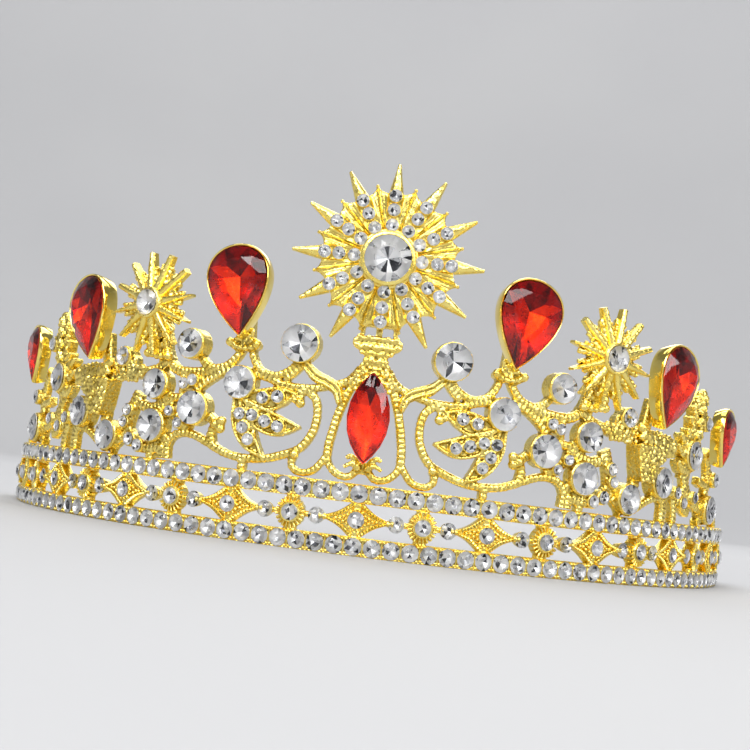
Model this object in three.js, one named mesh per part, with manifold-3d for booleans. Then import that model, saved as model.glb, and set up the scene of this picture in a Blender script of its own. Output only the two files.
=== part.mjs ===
// Half-round tiara: a rhinestone band of three rows under an openwork crest with a large
// sun, two small suns, six pear stones and one marquise stone. Millimetres, +Z up.
//
// The crest is laid out on a flat pattern and then bent about vertical lines. On the
// pattern u runs along the band from its middle (positive to the wearer's left), v is the
// height above the bottom row of stones, and "out" is the distance in front of the wall's
// front face. In this flat space a point is (u, -out, v).
import * as THREE from 'three';
import { mergeVertices } from 'three/addons/utils/BufferGeometryUtils.js';
import Module from 'manifold-3d';

const wasm = await Module();
wasm.setup();

// ---- Driving dimensions ----
const STONE_PITCH = 3.5;
const STONES_PER_SIDE = 36;
const ROW_STONE_RADIUS = 1.5;
const ROW_STONE_RISE = 0.55;
const BAND_HALF_LENGTH = 128;
const FRONT_RADIUS = 77;
const BEND_EASING = 2.89e-7;
const WALL_BACK = -2;
const GAP = 0.3;

const RAIL_HALF_HEIGHT = 1.75;
const UPPER_RAIL_V = 9.65;
const MIDDLE_ROW_V = 4.85;
const MIDDLE_BAR_HALF_HEIGHT = 0.5;
const FLOWER_RADIUS = 2.8;
const END_BAR_WIDTH = 1.5;
const EYELET_RADIUS = 2;
const EYELET_HOLE_RADIUS = 1.1;
const FIRST_FLOWER_U = 3.5 * STONE_PITCH;
const LOZENGE_COUNT = 5;
const FLOWER_COUNT = 5;
const CREST_BOTTOM_V = UPPER_RAIL_V + RAIL_HALF_HEIGHT + GAP;

const SUN_V = 53;
const PEAR_CUP_DEPTH = 3.8;
const CUP_WALL = 0.55;
const CUP_FLOOR = 1.2;
const BEND_STEP = 3.5;

// ---- The bent wall ----
const heading = (u) => u / FRONT_RADIUS - (BEND_EASING * u ** 3) / 3;

const PATH_STEP = 0.5;
const wallPath = [[0, 0]];
for (let u = PATH_STEP / 2; u < BAND_HALF_LENGTH + 20; u += PATH_STEP) {
  const [x, y] = wallPath.at(-1);
  wallPath.push([x + PATH_STEP * Math.cos(heading(u)), y + PATH_STEP * Math.sin(heading(u))]);
}

function wallPoint(u, out) {
  const place = Math.abs(u) / PATH_STEP;
  const index = Math.floor(place);
  const share = place - index;
  const [x0, y0] = wallPath[index];
  const [x1, y1] = wallPath[index + 1];
  const x = Math.sign(u) * (x0 + (x1 - x0) * share) + Math.sin(heading(u)) * out;
  const y = y0 + (y1 - y0) * share - Math.cos(heading(u)) * out;
  return [x, y];
}

// ---- Solids in flat space ----
function toSolid(geometry) {
  geometry.deleteAttribute('normal');
  geometry.deleteAttribute('uv');
  const merged = mergeVertices(geometry, 1e-4);
  const vertProperties = new Float32Array(merged.attributes.position.array);
  const triVerts = new Uint32Array(merged.index.array);
  return new wasm.Manifold(new wasm.Mesh({ numProp: 3, vertProperties, triVerts }));
}

function toGeometry(solid) {
  const mesh = solid.getMesh();
  const geometry = new THREE.BufferGeometry();
  geometry.setAttribute('position', new THREE.BufferAttribute(mesh.vertProperties, 3));
  geometry.setIndex(new THREE.BufferAttribute(mesh.triVerts, 1));
  return geometry;
}

const join = (solids) => solids.reduce((whole, solid) => whole.add(solid));

// A flat outline of [u, v] points, thickened from one distance out to another.
function plate(points, outFrom, outTo) {
  const shape = new THREE.Shape(points.map(([u, v]) => new THREE.Vector2(u, v)));
  const geometry = new THREE.ExtrudeGeometry(shape, { depth: outTo - outFrom, bevelEnabled: false });
  geometry.translate(0, 0, outFrom);
  geometry.rotateX(Math.PI / 2);
  return toSolid(geometry);
}

// A strip of rectangular section that follows [u, v] points.
function strip(points, width, outFrom = WALL_BACK, outTo = 0, step = 2.6) {
  const corners = points.map(([u, v]) => new THREE.Vector3(u, v, 0));
  const path = new THREE.CatmullRomCurve3(corners, false, 'centripetal');
  const section = new THREE.Shape([
    new THREE.Vector2(-outTo, -width / 2),
    new THREE.Vector2(-outFrom, -width / 2),
    new THREE.Vector2(-outFrom, width / 2),
    new THREE.Vector2(-outTo, width / 2),
  ]);
  const steps = Math.ceil(path.getLength() / step);
  const geometry = new THREE.ExtrudeGeometry(section, { steps, extrudePath: path, bevelEnabled: false });
  geometry.rotateX(Math.PI / 2);
  return toSolid(geometry);
}

// A straight bar along the band, divided so that it bends smoothly.
function bar(uFrom, uTo, vFrom, vTo, outFrom, outTo) {
  const length = uTo - uFrom;
  const divisions = Math.ceil(length / BEND_STEP);
  const geometry = new THREE.BoxGeometry(length, outTo - outFrom, vTo - vFrom, divisions, 1, 1);
  geometry.translate((uFrom + uTo) / 2, -(outFrom + outTo) / 2, (vFrom + vTo) / 2);
  return toSolid(geometry);
}

// ---- Outlines, as lists of [u, v] points about a centre ----
function ring(count, pointAt) {
  return Array.from({ length: count }, (_, index) => pointAt((index / count) * 2 * Math.PI));
}

const circle = (radius, sides = 10) => ring(sides, (t) => [radius * Math.cos(t), radius * Math.sin(t)]);

// Teardrop with its point down; its widest place is 0.77 of the sine product's scale.
const teardrop = (halfWidth, halfLength, sides = 20) =>
  ring(sides, (t) => [(halfWidth / 0.77) * Math.sin(t) * Math.sin(t / 2), -halfLength * Math.cos(t)]);

// Two equal circular arcs that meet in points above and below.
function lens(halfWidth, halfLength, sides = 16) {
  const radius = (halfLength ** 2 + halfWidth ** 2) / (2 * halfWidth);
  return ring(sides, (t) => {
    const v = -halfLength * Math.cos(t);
    const reach = Math.sqrt(radius ** 2 - v ** 2) - (radius - halfWidth);
    return [Math.sign(Math.sin(t)) * Math.max(reach, 0), v];
  });
}

const moved = (points, du, dv) => points.map(([u, v]) => [u + du, v + dv]);

const disc = (u, v, radius, outFrom, outTo) => plate(moved(circle(radius), u, v), outFrom, outTo);

// Star of pointed rays; tipRadius(ray) gives each ray's length.
function star(rayCount, valleyRadius, tipRadius, startAngle, tipWidth = 0) {
  const points = [];
  for (let ray = 0; ray < rayCount; ray += 1) {
    const angle = startAngle + (ray / rayCount) * 2 * Math.PI;
    const half = Math.PI / rayCount;
    const tip = tipRadius(ray);
    const spread = tipWidth / 2 / tip;
    points.push([valleyRadius * Math.cos(angle - half), valleyRadius * Math.sin(angle - half)]);
    for (const turn of tipWidth ? [-spread, spread] : [0]) {
      points.push([tip * Math.cos(angle + turn), tip * Math.sin(angle + turn)]);
    }
  }
  return points;
}

// A cut stone: one outline scaled at several distances out, closed by a flat at each end.
function cutStone(outline, levels) {
  const count = outline.length;
  const positions = [];
  for (const [scale, out] of levels) {
    for (const [u, v] of outline) positions.push(u * scale, -out, v * scale);
  }
  const index = [];
  for (let level = 0; level + 1 < levels.length; level += 1) {
    for (let side = 0; side < count; side += 1) {
      const next = (side + 1) % count;
      const a = level * count + side;
      const b = level * count + next;
      index.push(a, b, b + count, a, b + count, a + count);
    }
  }
  const top = (levels.length - 1) * count;
  for (let side = 1; side + 1 < count; side += 1) {
    index.push(0, side + 1, side);
    index.push(top, top + side, top + side + 1);
  }
  const geometry = new THREE.BufferGeometry();
  geometry.setAttribute('position', new THREE.Float32BufferAttribute(positions, 3));
  geometry.setIndex(index);
  return geometry;
}

// ---- Colours ----
const gold = () => new THREE.MeshStandardMaterial({ color: 0xe6bb3a, roughness: 0.3, metalness: 1 });
const clearStone = () => new THREE.MeshStandardMaterial({ color: 0xeef0f4, roughness: 0.08, metalness: 0.1 });
const redStone = () => new THREE.MeshStandardMaterial({ color: 0xd8120a, roughness: 0.08, metalness: 0.1 });

const crown = new THREE.Group();

function addMesh(name, geometry, material) {
  geometry.computeVertexNormals();
  const mesh = new THREE.Mesh(geometry, material);
  mesh.name = name;
  crown.add(mesh);
  return mesh;
}

// Bends a flat solid onto the wall, optionally mirrored to the other side.
function addBent(name, solid, side = 1, material = gold()) {
  const geometry = toGeometry(solid);
  const position = geometry.attributes.position;
  for (let i = 0; i < position.count; i += 1) {
    const [x, y] = wallPoint(side * position.getX(i), -position.getY(i));
    position.setXYZ(i, x, y, position.getZ(i));
  }
  if (side < 0) {
    const index = geometry.index.array;
    for (let i = 0; i < index.length; i += 3) [index[i], index[i + 1]] = [index[i + 1], index[i]];
  }
  return addMesh(name, geometry, material);
}

// Stands a rigid piece on the wall at (u, v), square to it, leaning along the band.
function addRigid(name, geometry, material, u, v, lean = 0) {
  const mesh = addMesh(name, geometry, material);
  const [x, y] = wallPoint(u, 0);
  mesh.position.set(x, y, v);
  mesh.rotation.set(0, lean, heading(u), 'ZYX');
  return mesh;
}

// ---- Band: two rails and the middle row between them ----
// A row of stones set edge to edge, as one ridged strip: each stone is flat on top and
// slopes to the valleys on both sides of it.
function stoneRow(v) {
  const low = GAP;
  const valley = GAP + ROW_STONE_RISE / 2;
  const high = GAP + ROW_STONE_RISE;
  const reach = STONES_PER_SIDE * STONE_PITCH + ROW_STONE_RADIUS;
  const front = [[-reach, valley]];
  for (let index = -STONES_PER_SIDE; index <= STONES_PER_SIDE; index += 1) {
    const u = index * STONE_PITCH;
    front.push([u - ROW_STONE_RADIUS / 2, high], [u + ROW_STONE_RADIUS / 2, high]);
    front.push([Math.min(u + STONE_PITCH / 2, reach), valley]);
  }
  const segments = front.length - 1;
  const geometry = new THREE.BoxGeometry(segments, 1, 1, segments, 1, 1);
  const points = geometry.attributes.position;
  for (let index = 0; index < points.count; index += 1) {
    const [u, out] = front[Math.round(points.getX(index) + segments / 2)];
    const up = Math.sign(points.getZ(index)) * ROW_STONE_RADIUS;
    points.setXYZ(index, u, points.getY(index) < 0 ? -out : -low, v + up);
  }
  return toSolid(geometry);
}

for (const [name, v] of [['lower_rail', 0], ['upper_rail', UPPER_RAIL_V]]) {
  const [bottom, top] = [v - RAIL_HALF_HEIGHT, v + RAIL_HALF_HEIGHT];
  const rail = bar(-BAND_HALF_LENGTH, BAND_HALF_LENGTH, bottom, top, WALL_BACK, 0);
  addBent(name, rail);
  addBent(`${name}_stones`, stoneRow(v), 1, clearStone());
}

const LATTICE_BOTTOM_V = RAIL_HALF_HEIGHT + GAP;
const LATTICE_TOP_V = UPPER_RAIL_V - RAIL_HALF_HEIGHT - GAP;

const LOZENGE = [
  [2, -1.3], [0.9, -2.7], [-0.9, -2.7], [-2, -1.3], [-4.4, 0],
  [-2, 1.3], [-0.9, 2.7], [0.9, 2.7], [2, 1.3], [4.4, 0],
];

function middleRow() {
  const barBottom = MIDDLE_ROW_V - MIDDLE_BAR_HALF_HEIGHT;
  const barTop = MIDDLE_ROW_V + MIDDLE_BAR_HALF_HEIGHT;
  const parts = [bar(-BAND_HALF_LENGTH, BAND_HALF_LENGTH, barBottom, barTop, -1.6, -0.4)];
  const post = (u, halfWidth) =>
    bar(u - halfWidth, u + halfWidth, LATTICE_BOTTOM_V, LATTICE_TOP_V, -1.7, -0.2);
  for (let index = -LOZENGE_COUNT; index <= LOZENGE_COUNT; index += 1) {
    const u = index * 2 * FIRST_FLOWER_U;
    parts.push(plate(moved(LOZENGE, u, MIDDLE_ROW_V), WALL_BACK, 0), post(u, 1));
  }
  for (let index = 0; index < FLOWER_COUNT; index += 1) {
    const u = (2 * index + 1) * FIRST_FLOWER_U;
    for (const side of [-1, 1]) {
      parts.push(disc(side * u, MIDDLE_ROW_V, FLOWER_RADIUS, WALL_BACK, 0.2), post(side * u, 1.1));
    }
  }
  for (const end of [-1, 1]) {
    const middle = end * (BAND_HALF_LENGTH - END_BAR_WIDTH / 2);
    const [from, to] = [middle - END_BAR_WIDTH / 2, middle + END_BAR_WIDTH / 2];
    parts.push(bar(from, to, LATTICE_BOTTOM_V, LATTICE_TOP_V, -1.8, -0.2));
  }
  return join(parts);
}
addBent('middle_row', middleRow());

const SIDES = [['right', -1], ['left', 1]];
const EYELET_U = BAND_HALF_LENGTH + GAP + EYELET_RADIUS - 0.1;
for (const [name, side] of SIDES) {
  const eyelet = plate(moved(circle(EYELET_RADIUS, 14), EYELET_U, MIDDLE_ROW_V), -1.6, -0.4);
  const hole = plate(moved(circle(EYELET_HOLE_RADIUS, 14), EYELET_U, MIDDLE_ROW_V), -3, 1);
  addBent(`${name}_end_eyelet`, eyelet.subtract(hole), side);
}

// ---- Larger clear stones, each on its own seat: name, u, v, radius, how far its seat stands out ----
const ROUND_STONES = [
  ['top', 14.1, 35.8, 3.35, 1.2],
  ['pedestal', 25.1, 27.5, 2.9, 0.6],
  ['perch', 36.2, 33.9, 2.65, 1.2],
  ['ring', 34.2, 21.8, 3, 0.9],
  ['cluster_upper', 43.8, 25.7, 2.7, 0.7],
  ['cluster_lower', 43.6, 17.7, 2.95, 0.7],
  ['bud', 53.5, 30.6, 1.7, 0.6],
  ['arch', 55.8, 14.9, 2.75, 0.7],
  ['vase_foot', 65.5, 19, 2.85, 1],
  ['leaf_lower', 77, 25.6, 2.8, 1],
  ['end_lower', 89.5, 14.9, 2.8, 0.8],
];
const SEAT_RIM = 0.35;
// Seats of two smaller stones on the leaf column and the end scroll: u, v, radius, rise
const SMALL_SEATS = [[81.3, 32.6, 1.6, 1.4], [92, 21.4, 1.6, 0.6]];

// ---- Crest, drawn for one half and mirrored for the other ----
const NECK = [
  [0, 46], [2.6, 46], [3.2, 41], [3.4, 39.2], [4.3, 38.2], [4.3, 37], [3.5, 36], [2.2, 35], [2.1, 34],
  [2.8, 32.4], [4, 30.8], [4.6, 29.6], [3.2, 28.4], [2, 29.6], [0, 30],
];
const NECK_HOLE = { u: 1.7, v: 39.5, radius: 0.9 };

const STRIPS = [
  // arms from the neck, stems beside the marquise and their two hooks
  [[[2.6, 32.6], [4.2, 30.4], [6.2, 29.2], [8.2, 29.1], [10.3, 30], [12.6, 31.9]], 1.3],
  [[[3.4, 30], [4.4, 27.8], [5.3, 25.2], [5.9, 23], [6.4, 20.6], [6.8, 18], [6.9, 15.6]], 1.4],
  [[[6.9, 16], [6.4, 14.4], [5.2, 13.1], [3.8, 12.5], [2.3, 12.6], [1.3, 13.6], [1, 15]], 1.1],
  [[[6.9, 16], [8, 14.2], [9.2, 12.9], [10.6, 12.3], [12.1, 12.3],
    [13.2, 13], [13.5, 14], [12.9, 15.4]], 1.1],
  // low arch and the legs of the top stone
  [[[6.6, 29], [10.2, 28.1], [12.7, 27.8], [15.2, 27.8], [17.6, 28.1], [19.8, 28.8], [22.4, 29.4]], 1.2],
  [[[13.4, 32.2], [15, 30.4], [16.6, 29]], 1.1],
  [[[14.6, 32.2], [16.2, 30.6], [18.2, 29.6], [20.2, 29.6], [22, 30.4], [23.3, 32], [24, 34]], 1.2],
  // open ring with its curl, running on as the long scroll to the post
  [[[13.2, 25], [13.4, 26.6], [12.5, 27.2], [11.3, 26.8], [10.3, 25.8], [9.8, 24.3], [9.7, 22.5],
    [9.9, 20.7], [10.5, 19], [11.5, 17.4], [12.8, 16.2], [14.2, 15.5], [16, 14.8], [18.2, 14.1],
    [20.4, 13.7], [22.6, 13.6], [24.8, 13.7], [27, 14.1], [29, 14.8], [31, 15.6], [33, 16.4],
    [35, 16.9], [37, 16.9], [38.6, 16.4],
    [39.9, 15.2], [40.2, 13.6], [40, CREST_BOTTOM_V]], 1.3],
  [[[23.2, 13.9], [23.2, CREST_BOTTOM_V]], 1.4],
  // pedestal of the inner pear, its valley and the slanting band below it
  [[[26, 34.2], [26.9, 32.4], [28.6, 30.6], [30.8, 29.8], [32.8, 30], [34.4, 31.2], [35.4, 32.8]], 1.4],
  [[[26.4, 29.8], [29.6, 29], [32, 27.6], [34, 26], [35.6, 24.4]], 1.3],
  [[[31, 29.4], [34, 28.8], [37.4, 28.6], [40, 28.8], [42.4, 30.2]], 1.7],
  [[[33.4, 27.6], [35.6, 27.1], [37.8, 26.2]], 2.2],
  [[[38.2, 28.6], [38.3, 26], [38.2, 24]], 0.9],
  // knob on its branch beside the ring stone
  [[[30, 15.4], [30.4, 17.2], [29.8, 19], [28.6, 19.4]], 1.5],
  [[[29.6, 19.4], [31.4, 20.6]], 1.6],
  // crescent under the ring stone and the webs between the cluster stones
  [[[35.4, 17.4], [37.4, 18.6], [39.4, 20.2], [40.8, 22], [41.6, 24]], 2],
  [[[37.4, 23.6], [40, 23.4], [42, 23]], 1.5],
  [[[39.6, 15.4], [41.4, 15.6], [42.4, 16.4]], 1.6],
  [[[41.6, 22.6], [43, 21.6], [46, 21], [48.6, 21.6]], 1.9],
  [[[41.2, CREST_BOTTOM_V], [41.6, 13.4], [44.4, 13.4], [46.7, 13.4], [49.2, 14.5], [50.8, 16]], 2],
  [[[44.4, 13], [44.2, CREST_BOTTOM_V]], 1.4],
  // stem of the small sun and the bud's arm
  [[[42.2, 29.2], [43.6, 31.4], [44.4, 34], [45, 37], [45.6, 41]], 3.4],
  [[[44, 29], [47, 28.2], [50, 27.4], [53, 27.2], [57, 27]], 1.7],
  // standing leaf with two small stones
  [[[49.2, 23.8], [50, 22], [50.7, 20.2], [51.3, 17.8], [51.2, 15.6]], 2.4],
  [[[50.8, 15.6], [52.4, 14.6], [54, 13.4]], 1.3],
  [[[54.4, CREST_BOTTOM_V], [56, 12.6], [58.6, 12.4]], 1.2],
  // arch over the rail, post, and the strip of small stones
  [[[57.4, 12.2], [60, 13.4], [62.6, 14.8], [65.6, 15.8], [68.4, 16.2], [70, 17]], 1.3],
  [[[58.6, 17], [58.8, 19.6]], 2.2],
  [[[67, 16.4], [69, 15], [69.2, CREST_BOTTOM_V]], 2],
  [[[68.4, 18], [70.6, 17.6], [72.6, 17.4], [75.7, 15.6], [78.4, 14.4], [80.6, 13.8]], 1.9],
  [[[72.8, 16.6], [73.6, 14], [74, CREST_BOTTOM_V]], 1.6],
  // foot of the leaf column and the end scrolls
  [[[76.6, 22], [78.6, 18.6], [81, 16.6], [84, 15.6], [87, 15]], 2.2],
  [[[86, CREST_BOTTOM_V], [88, 12.6], [91, 12.4]], 1.4],
  [[[89.6, 16], [91, 19], [91.6, 22], [90.4, 25], [88.4, 27.4]], 2],
  [[[91, 14.4], [94.6, 15.2], [97.6, 15], [100.2, 13.8], [102.4, CREST_BOTTOM_V]], 1.3],
  [[[84.4, 20.8], [87.6, 20.2], [91, 20.6]], 1.5],
  [[[75.4, 16], [77.2, 18.2], [78.2, 20.6]], 1.5],
];

const LEAVES = [
  // spray of three leaves inside the open ring, tips first
  [[14, 26.4], [16, 24.4], [18.6, 23.1], [21.4, 23.1], [24, 24.2], [22.6, 25.8], [20, 26.7], [17, 27.1]],
  [[12.6, 20.4], [15.6, 18.8], [18.2, 18.5], [21.2, 19.6],
    [24.4, 22.6], [24.6, 24.4], [21.6, 23.6], [17.4, 22.2]],
  [[19.2, 14.2], [22.6, 15.5], [24.9, 17.9], [26, 21], [25.9, 25], [24, 24.6], [22.2, 20.6], [20.6, 17]],
  // capital of the inner pear
  [[22.4, 34.2], [23.6, 33.4], [27.4, 33.4], [28.7, 34.2], [28.7, 35.2], [27.6, 35.8], [26.9, 36], [27, 40],
    [24.2, 40], [23.8, 36], [22.8, 35.6], [22.3, 34.9]],
  // bud cup
  [[50, 27], [56, 26.6], [56.6, 29.6], [55.4, 32.2], [53, 32.4], [50.6, 30.4]],
];

// Vase under the outer pear, and the beaded garland across its mouth.
const VASE = [[57.8, 18.6], [62, 18.6], [62.7, 21.4], [65, 25.8], [56, 25.8], [57, 21]];
const VASE_FRONT = 2.2;
const GARLAND = [[57.4, 28.4], [59, 27.4], [61.4, 26.9], [64.4, 26.8], [67.6, 26.2]];

// Leaf column: scalloped rows stacked like a plume.
const PLUME = [
  [74.6, 21.6], [72, 23.4], [73.6, 25.8], [72.8, 28.6], [74.4, 30], [73, 32.6], [75, 34.2], [74.4, 36.6],
  [77, 37.6], [78.4, 40], [81.2, 40.2], [82.4, 38], [84.2, 36.4], [83.6, 34], [84.8, 31.6], [83.6, 29.6],
  [84.6, 27], [83, 24.6], [81, 22],
];

function halfCrest() {
  const parts = [plate(NECK.toReversed(), WALL_BACK, 0)];
  for (const [points, width] of STRIPS) parts.push(strip(points, width));
  for (const outline of LEAVES) parts.push(plate(outline, WALL_BACK, 0));
  for (const [, u, v, radius, rise] of ROUND_STONES) {
    parts.push(disc(u, v, radius + SEAT_RIM, WALL_BACK, rise));
  }
  for (const [u, v, radius, rise] of SMALL_SEATS) parts.push(disc(u, v, radius + SEAT_RIM, WALL_BACK, rise));
  parts.push(disc(28.6, 19.4, 1.3, WALL_BACK, 0.3));
  parts.push(disc(13.1, 24.9, 0.9, WALL_BACK, 0));
  parts.push(plate(VASE, WALL_BACK, VASE_FRONT));
  parts.push(strip(GARLAND, 2.4, WALL_BACK, 1.4));
  parts.push(strip([[58.6, 27], [60, 29], [60.8, 31.6], [61.6, 35]], 3));
  parts.push(plate(PLUME.toReversed(), WALL_BACK, 1));
  return join(parts);
}

// Each panel takes the part of the crest inside its own territory on the pattern.
const TOP = 60;
const TERRITORIES = {
  scroll_panel: [
    [9, CREST_BOTTOM_V], [38.9, CREST_BOTTOM_V], [38.9, 17.6], [38.2, 17.6],
    [38.2, 31], [39.7, 31], [39.7, TOP], [9, TOP],
  ],
  stone_cluster: [
    [39.2, CREST_BOTTOM_V], [52.6, CREST_BOTTOM_V], [52.6, 24], [55.6, 24], [55.6, 26.1], [56.8, 26.1],
    [56.8, TOP], [40, TOP], [40, 30.7], [38.5, 30.7], [38.5, 17.9], [39.2, 17.9],
  ],
  vase_panel: [
    [52.9, CREST_BOTTOM_V], [71.4, CREST_BOTTOM_V], [71.4, TOP], [57.1, TOP],
    [57.1, 25.8], [55.9, 25.8], [55.9, 23.7], [52.9, 23.7],
  ],
  leaf_column: [
    [71.7, CREST_BOTTOM_V], [84.2, CREST_BOTTOM_V], [84.2, 24], [87.4, 24], [87.4, TOP], [71.7, TOP],
  ],
  end_scroll: [
    [84.5, CREST_BOTTOM_V], [110, CREST_BOTTOM_V], [110, TOP], [87.7, TOP], [87.7, 23.7], [84.5, 23.7],
  ],
};

const half = halfCrest();
const territory = (points) => plate(points, WALL_BACK - 1, 5);

// ---- Middle of the crest, whole across the centre line ----
const middleTerritory = territory([[-0.5, CREST_BOTTOM_V], [8.7, CREST_BOTTOM_V], [8.7, TOP], [-0.5, TOP]]);
const mirror = (solid) => {
  const geometry = toGeometry(solid);
  geometry.scale(-1, 1, 1);
  const index = geometry.index.array;
  for (let i = 0; i < index.length; i += 3) [index[i], index[i + 1]] = [index[i + 1], index[i]];
  return toSolid(geometry);
};
const neckHole = disc(NECK_HOLE.u, NECK_HOLE.v, NECK_HOLE.radius, WALL_BACK - 1, 1);
const piercedHalf = half.intersect(middleTerritory).subtract(neckHole);
// joins the two hooks under the marquise
const bridge = bar(-1.2, 1.2, 14.2, 15.4, WALL_BACK, -0.6);
addBent('center_crest', join([piercedHalf, mirror(piercedHalf), bridge]));

for (const [sideName, side] of SIDES) {
  for (const [name, points] of Object.entries(TERRITORIES)) {
    addBent(`${sideName}_${name}`, half.intersect(territory(points)), side);
  }
}

// ---- Suns ----
// Long rays and fan tips take turns. The ray over the neck is left out.
const LARGE_SUN = {
  rays: 24, valley: 12.1, fanTip: 13.8, rayTip: 18, noRay: 12.6,
  front: 1.9, bezel: 5, rise: 2.6,
};
const RAY_OVER_NECK = 18;
const largeSun = star(LARGE_SUN.rays, LARGE_SUN.valley, (ray) => {
  if (ray === RAY_OVER_NECK) return LARGE_SUN.noRay;
  return ray % 2 ? LARGE_SUN.fanTip : LARGE_SUN.rayTip;
}, 0);
const largeBezel = disc(0, 0, LARGE_SUN.bezel, 1, LARGE_SUN.rise);
const largeSunSolid = join([plate(largeSun, GAP, LARGE_SUN.front), largeBezel]);
addRigid('center_sun', toGeometry(largeSunSolid), gold(), 0, SUN_V);

const SMALL_SUN = {
  u: 45.9, v: 41, back: 0.8, front: 2.6, rise: 3.4, bezel: 3.2,
  turn: 0.33, rays: 24, valley: 7, shortTip: 8.1, longTip: 10, tipWidth: 0.9,
};
const smallSunTip = (ray) => (ray % 2 ? SMALL_SUN.shortTip : SMALL_SUN.longTip);
const smallSun = (firstAngle) =>
  star(SMALL_SUN.rays, SMALL_SUN.valley, smallSunTip, firstAngle, SMALL_SUN.tipWidth);
for (const [name, side] of SIDES) {
  const rays = smallSun(side > 0 ? SMALL_SUN.turn : Math.PI - SMALL_SUN.turn);
  const bezel = disc(0, 0, SMALL_SUN.bezel, SMALL_SUN.back + 0.2, SMALL_SUN.rise);
  const solid = join([plate(rays, SMALL_SUN.back, SMALL_SUN.front), bezel]);
  addRigid(`${name}_sun`, toGeometry(solid), gold(), side * SMALL_SUN.u, SMALL_SUN.v);
}

// ---- Red stones in their cups ----
const stoneLevels = (girdleOut) => [
  [0.72, CUP_FLOOR + GAP], [1, girdleOut - 0.3], [1, girdleOut], [0.62, girdleOut + 1.2],
];

function addCupAndStone(name, outline, wider, place, depth) {
  const cup = plate(wider(CUP_WALL + GAP), GAP, depth).subtract(plate(wider(GAP), CUP_FLOOR, depth + 1));
  addRigid(`${name}_cup`, toGeometry(cup), gold(), ...place);
  addRigid(`${name}_stone`, cutStone(outline, stoneLevels(depth - 0.2)), redStone(), ...place);
}

const PEARS = [
  ['inner_pear', 26.4, 44.3, 5.7, 7.9, 0.17, PEAR_CUP_DEPTH],
  ['outer_pear', 63.2, 37.8, 5.7, 7.9, 0.3, PEAR_CUP_DEPTH],
  ['end_pear', 90, 30.4, 4, 5.6, 0.3, PEAR_CUP_DEPTH - 0.6],
];
for (const [name, u, v, halfWidth, halfLength, lean, depth] of PEARS) {
  for (const [sideName, side] of SIDES) {
    const wider = (extra) => teardrop(halfWidth + extra, halfLength + extra * 1.3);
    const place = [side * u, v, side * lean];
    addCupAndStone(`${sideName}_${name}`, wider(0), wider, place, depth);
  }
}

const MARQUISE = { v: 23.5, halfWidth: 3.55, halfLength: 7.84, depth: 2.4 };
const widerLens = (extra) => lens(MARQUISE.halfWidth + extra, MARQUISE.halfLength + extra * 1.6);
addCupAndStone('marquise', widerLens(0), widerLens, [0, MARQUISE.v], MARQUISE.depth);

// ---- Clear stones ----
const clearLevels = (seatOut, radius) => {
  const thickness = 1 + radius * 0.15;
  const girdle = seatOut + GAP + 0.5;
  return [[0.8, seatOut + GAP], [1, girdle - 0.1], [1, girdle + 0.1], [0.6, girdle + thickness]];
};
for (const [name, u, v, radius, rise] of ROUND_STONES) {
  for (const [sideName, side] of SIDES) {
    const geometry = cutStone(circle(radius, 8), clearLevels(rise, radius));
    addRigid(`${sideName}_${name}_stone`, geometry, clearStone(), side * u, v);
  }
}
addRigid('center_sun_stone', cutStone(circle(4, 12), clearLevels(LARGE_SUN.rise, 4)), clearStone(), 0, SUN_V);
for (const [name, side] of SIDES) {
  const geometry = cutStone(circle(2.7, 8), clearLevels(SMALL_SUN.rise, 2.7));
  addRigid(`${name}_sun_stone`, geometry, clearStone(), side * SMALL_SUN.u, SMALL_SUN.v);
}

// ---- Origin: middle of the bounding box, on the surface that the lower rail stands on ----
crown.updateMatrixWorld(true);
const box = new THREE.Box3().setFromObject(crown, true);
crown.position.set(0, -(box.min.y + box.max.y) / 2, RAIL_HALF_HEIGHT);

export default crown;
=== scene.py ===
"""Looks of the half-round tiara: cast gold, foil-backed clear stones and red stones.

The crest is drawn on a flat pattern in millimetres, as (u, v, out): u along the band from its
middle, v above the bottom row of stones, out in front of the wall. bend() and stand() carry
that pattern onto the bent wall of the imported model, in metres.
"""

import math

import bmesh
import bpy
import numpy as np
from mathutils import Matrix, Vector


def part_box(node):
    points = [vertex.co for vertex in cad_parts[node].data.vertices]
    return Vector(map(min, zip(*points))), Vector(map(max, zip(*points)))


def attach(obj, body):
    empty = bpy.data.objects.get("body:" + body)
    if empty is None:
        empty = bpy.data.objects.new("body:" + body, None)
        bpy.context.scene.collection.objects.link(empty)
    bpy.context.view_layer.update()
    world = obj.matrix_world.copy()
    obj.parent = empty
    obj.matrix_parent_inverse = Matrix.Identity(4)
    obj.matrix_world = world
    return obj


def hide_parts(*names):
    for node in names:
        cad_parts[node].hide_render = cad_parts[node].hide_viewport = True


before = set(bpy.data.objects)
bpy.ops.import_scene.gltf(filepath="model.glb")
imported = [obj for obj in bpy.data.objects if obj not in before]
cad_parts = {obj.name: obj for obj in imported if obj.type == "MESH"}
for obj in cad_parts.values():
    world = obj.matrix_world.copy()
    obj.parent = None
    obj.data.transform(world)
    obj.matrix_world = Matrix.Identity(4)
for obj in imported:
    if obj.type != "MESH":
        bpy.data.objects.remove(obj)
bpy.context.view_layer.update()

# ---- Driving dimensions, in millimetres (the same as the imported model's) ----
MM = 0.001
STONE_PITCH = 3.5
STONES_PER_SIDE = 36
BAND_HALF_LENGTH = 128
FRONT_RADIUS = 77
BEND_EASING = 2.89e-7
WALL_BACK = -2
RAIL_HALF_HEIGHT = 1.75
UPPER_RAIL_V = 9.65
MIDDLE_ROW_V = 4.85
FLOWER_U = 3.5 * STONE_PITCH
CREST_BOTTOM_V = 11.7
SUN_V = 53
SMALL_SUN_U = 45.9
SMALL_SUN_V = 41
MARQUISE_V = 23.5

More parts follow.
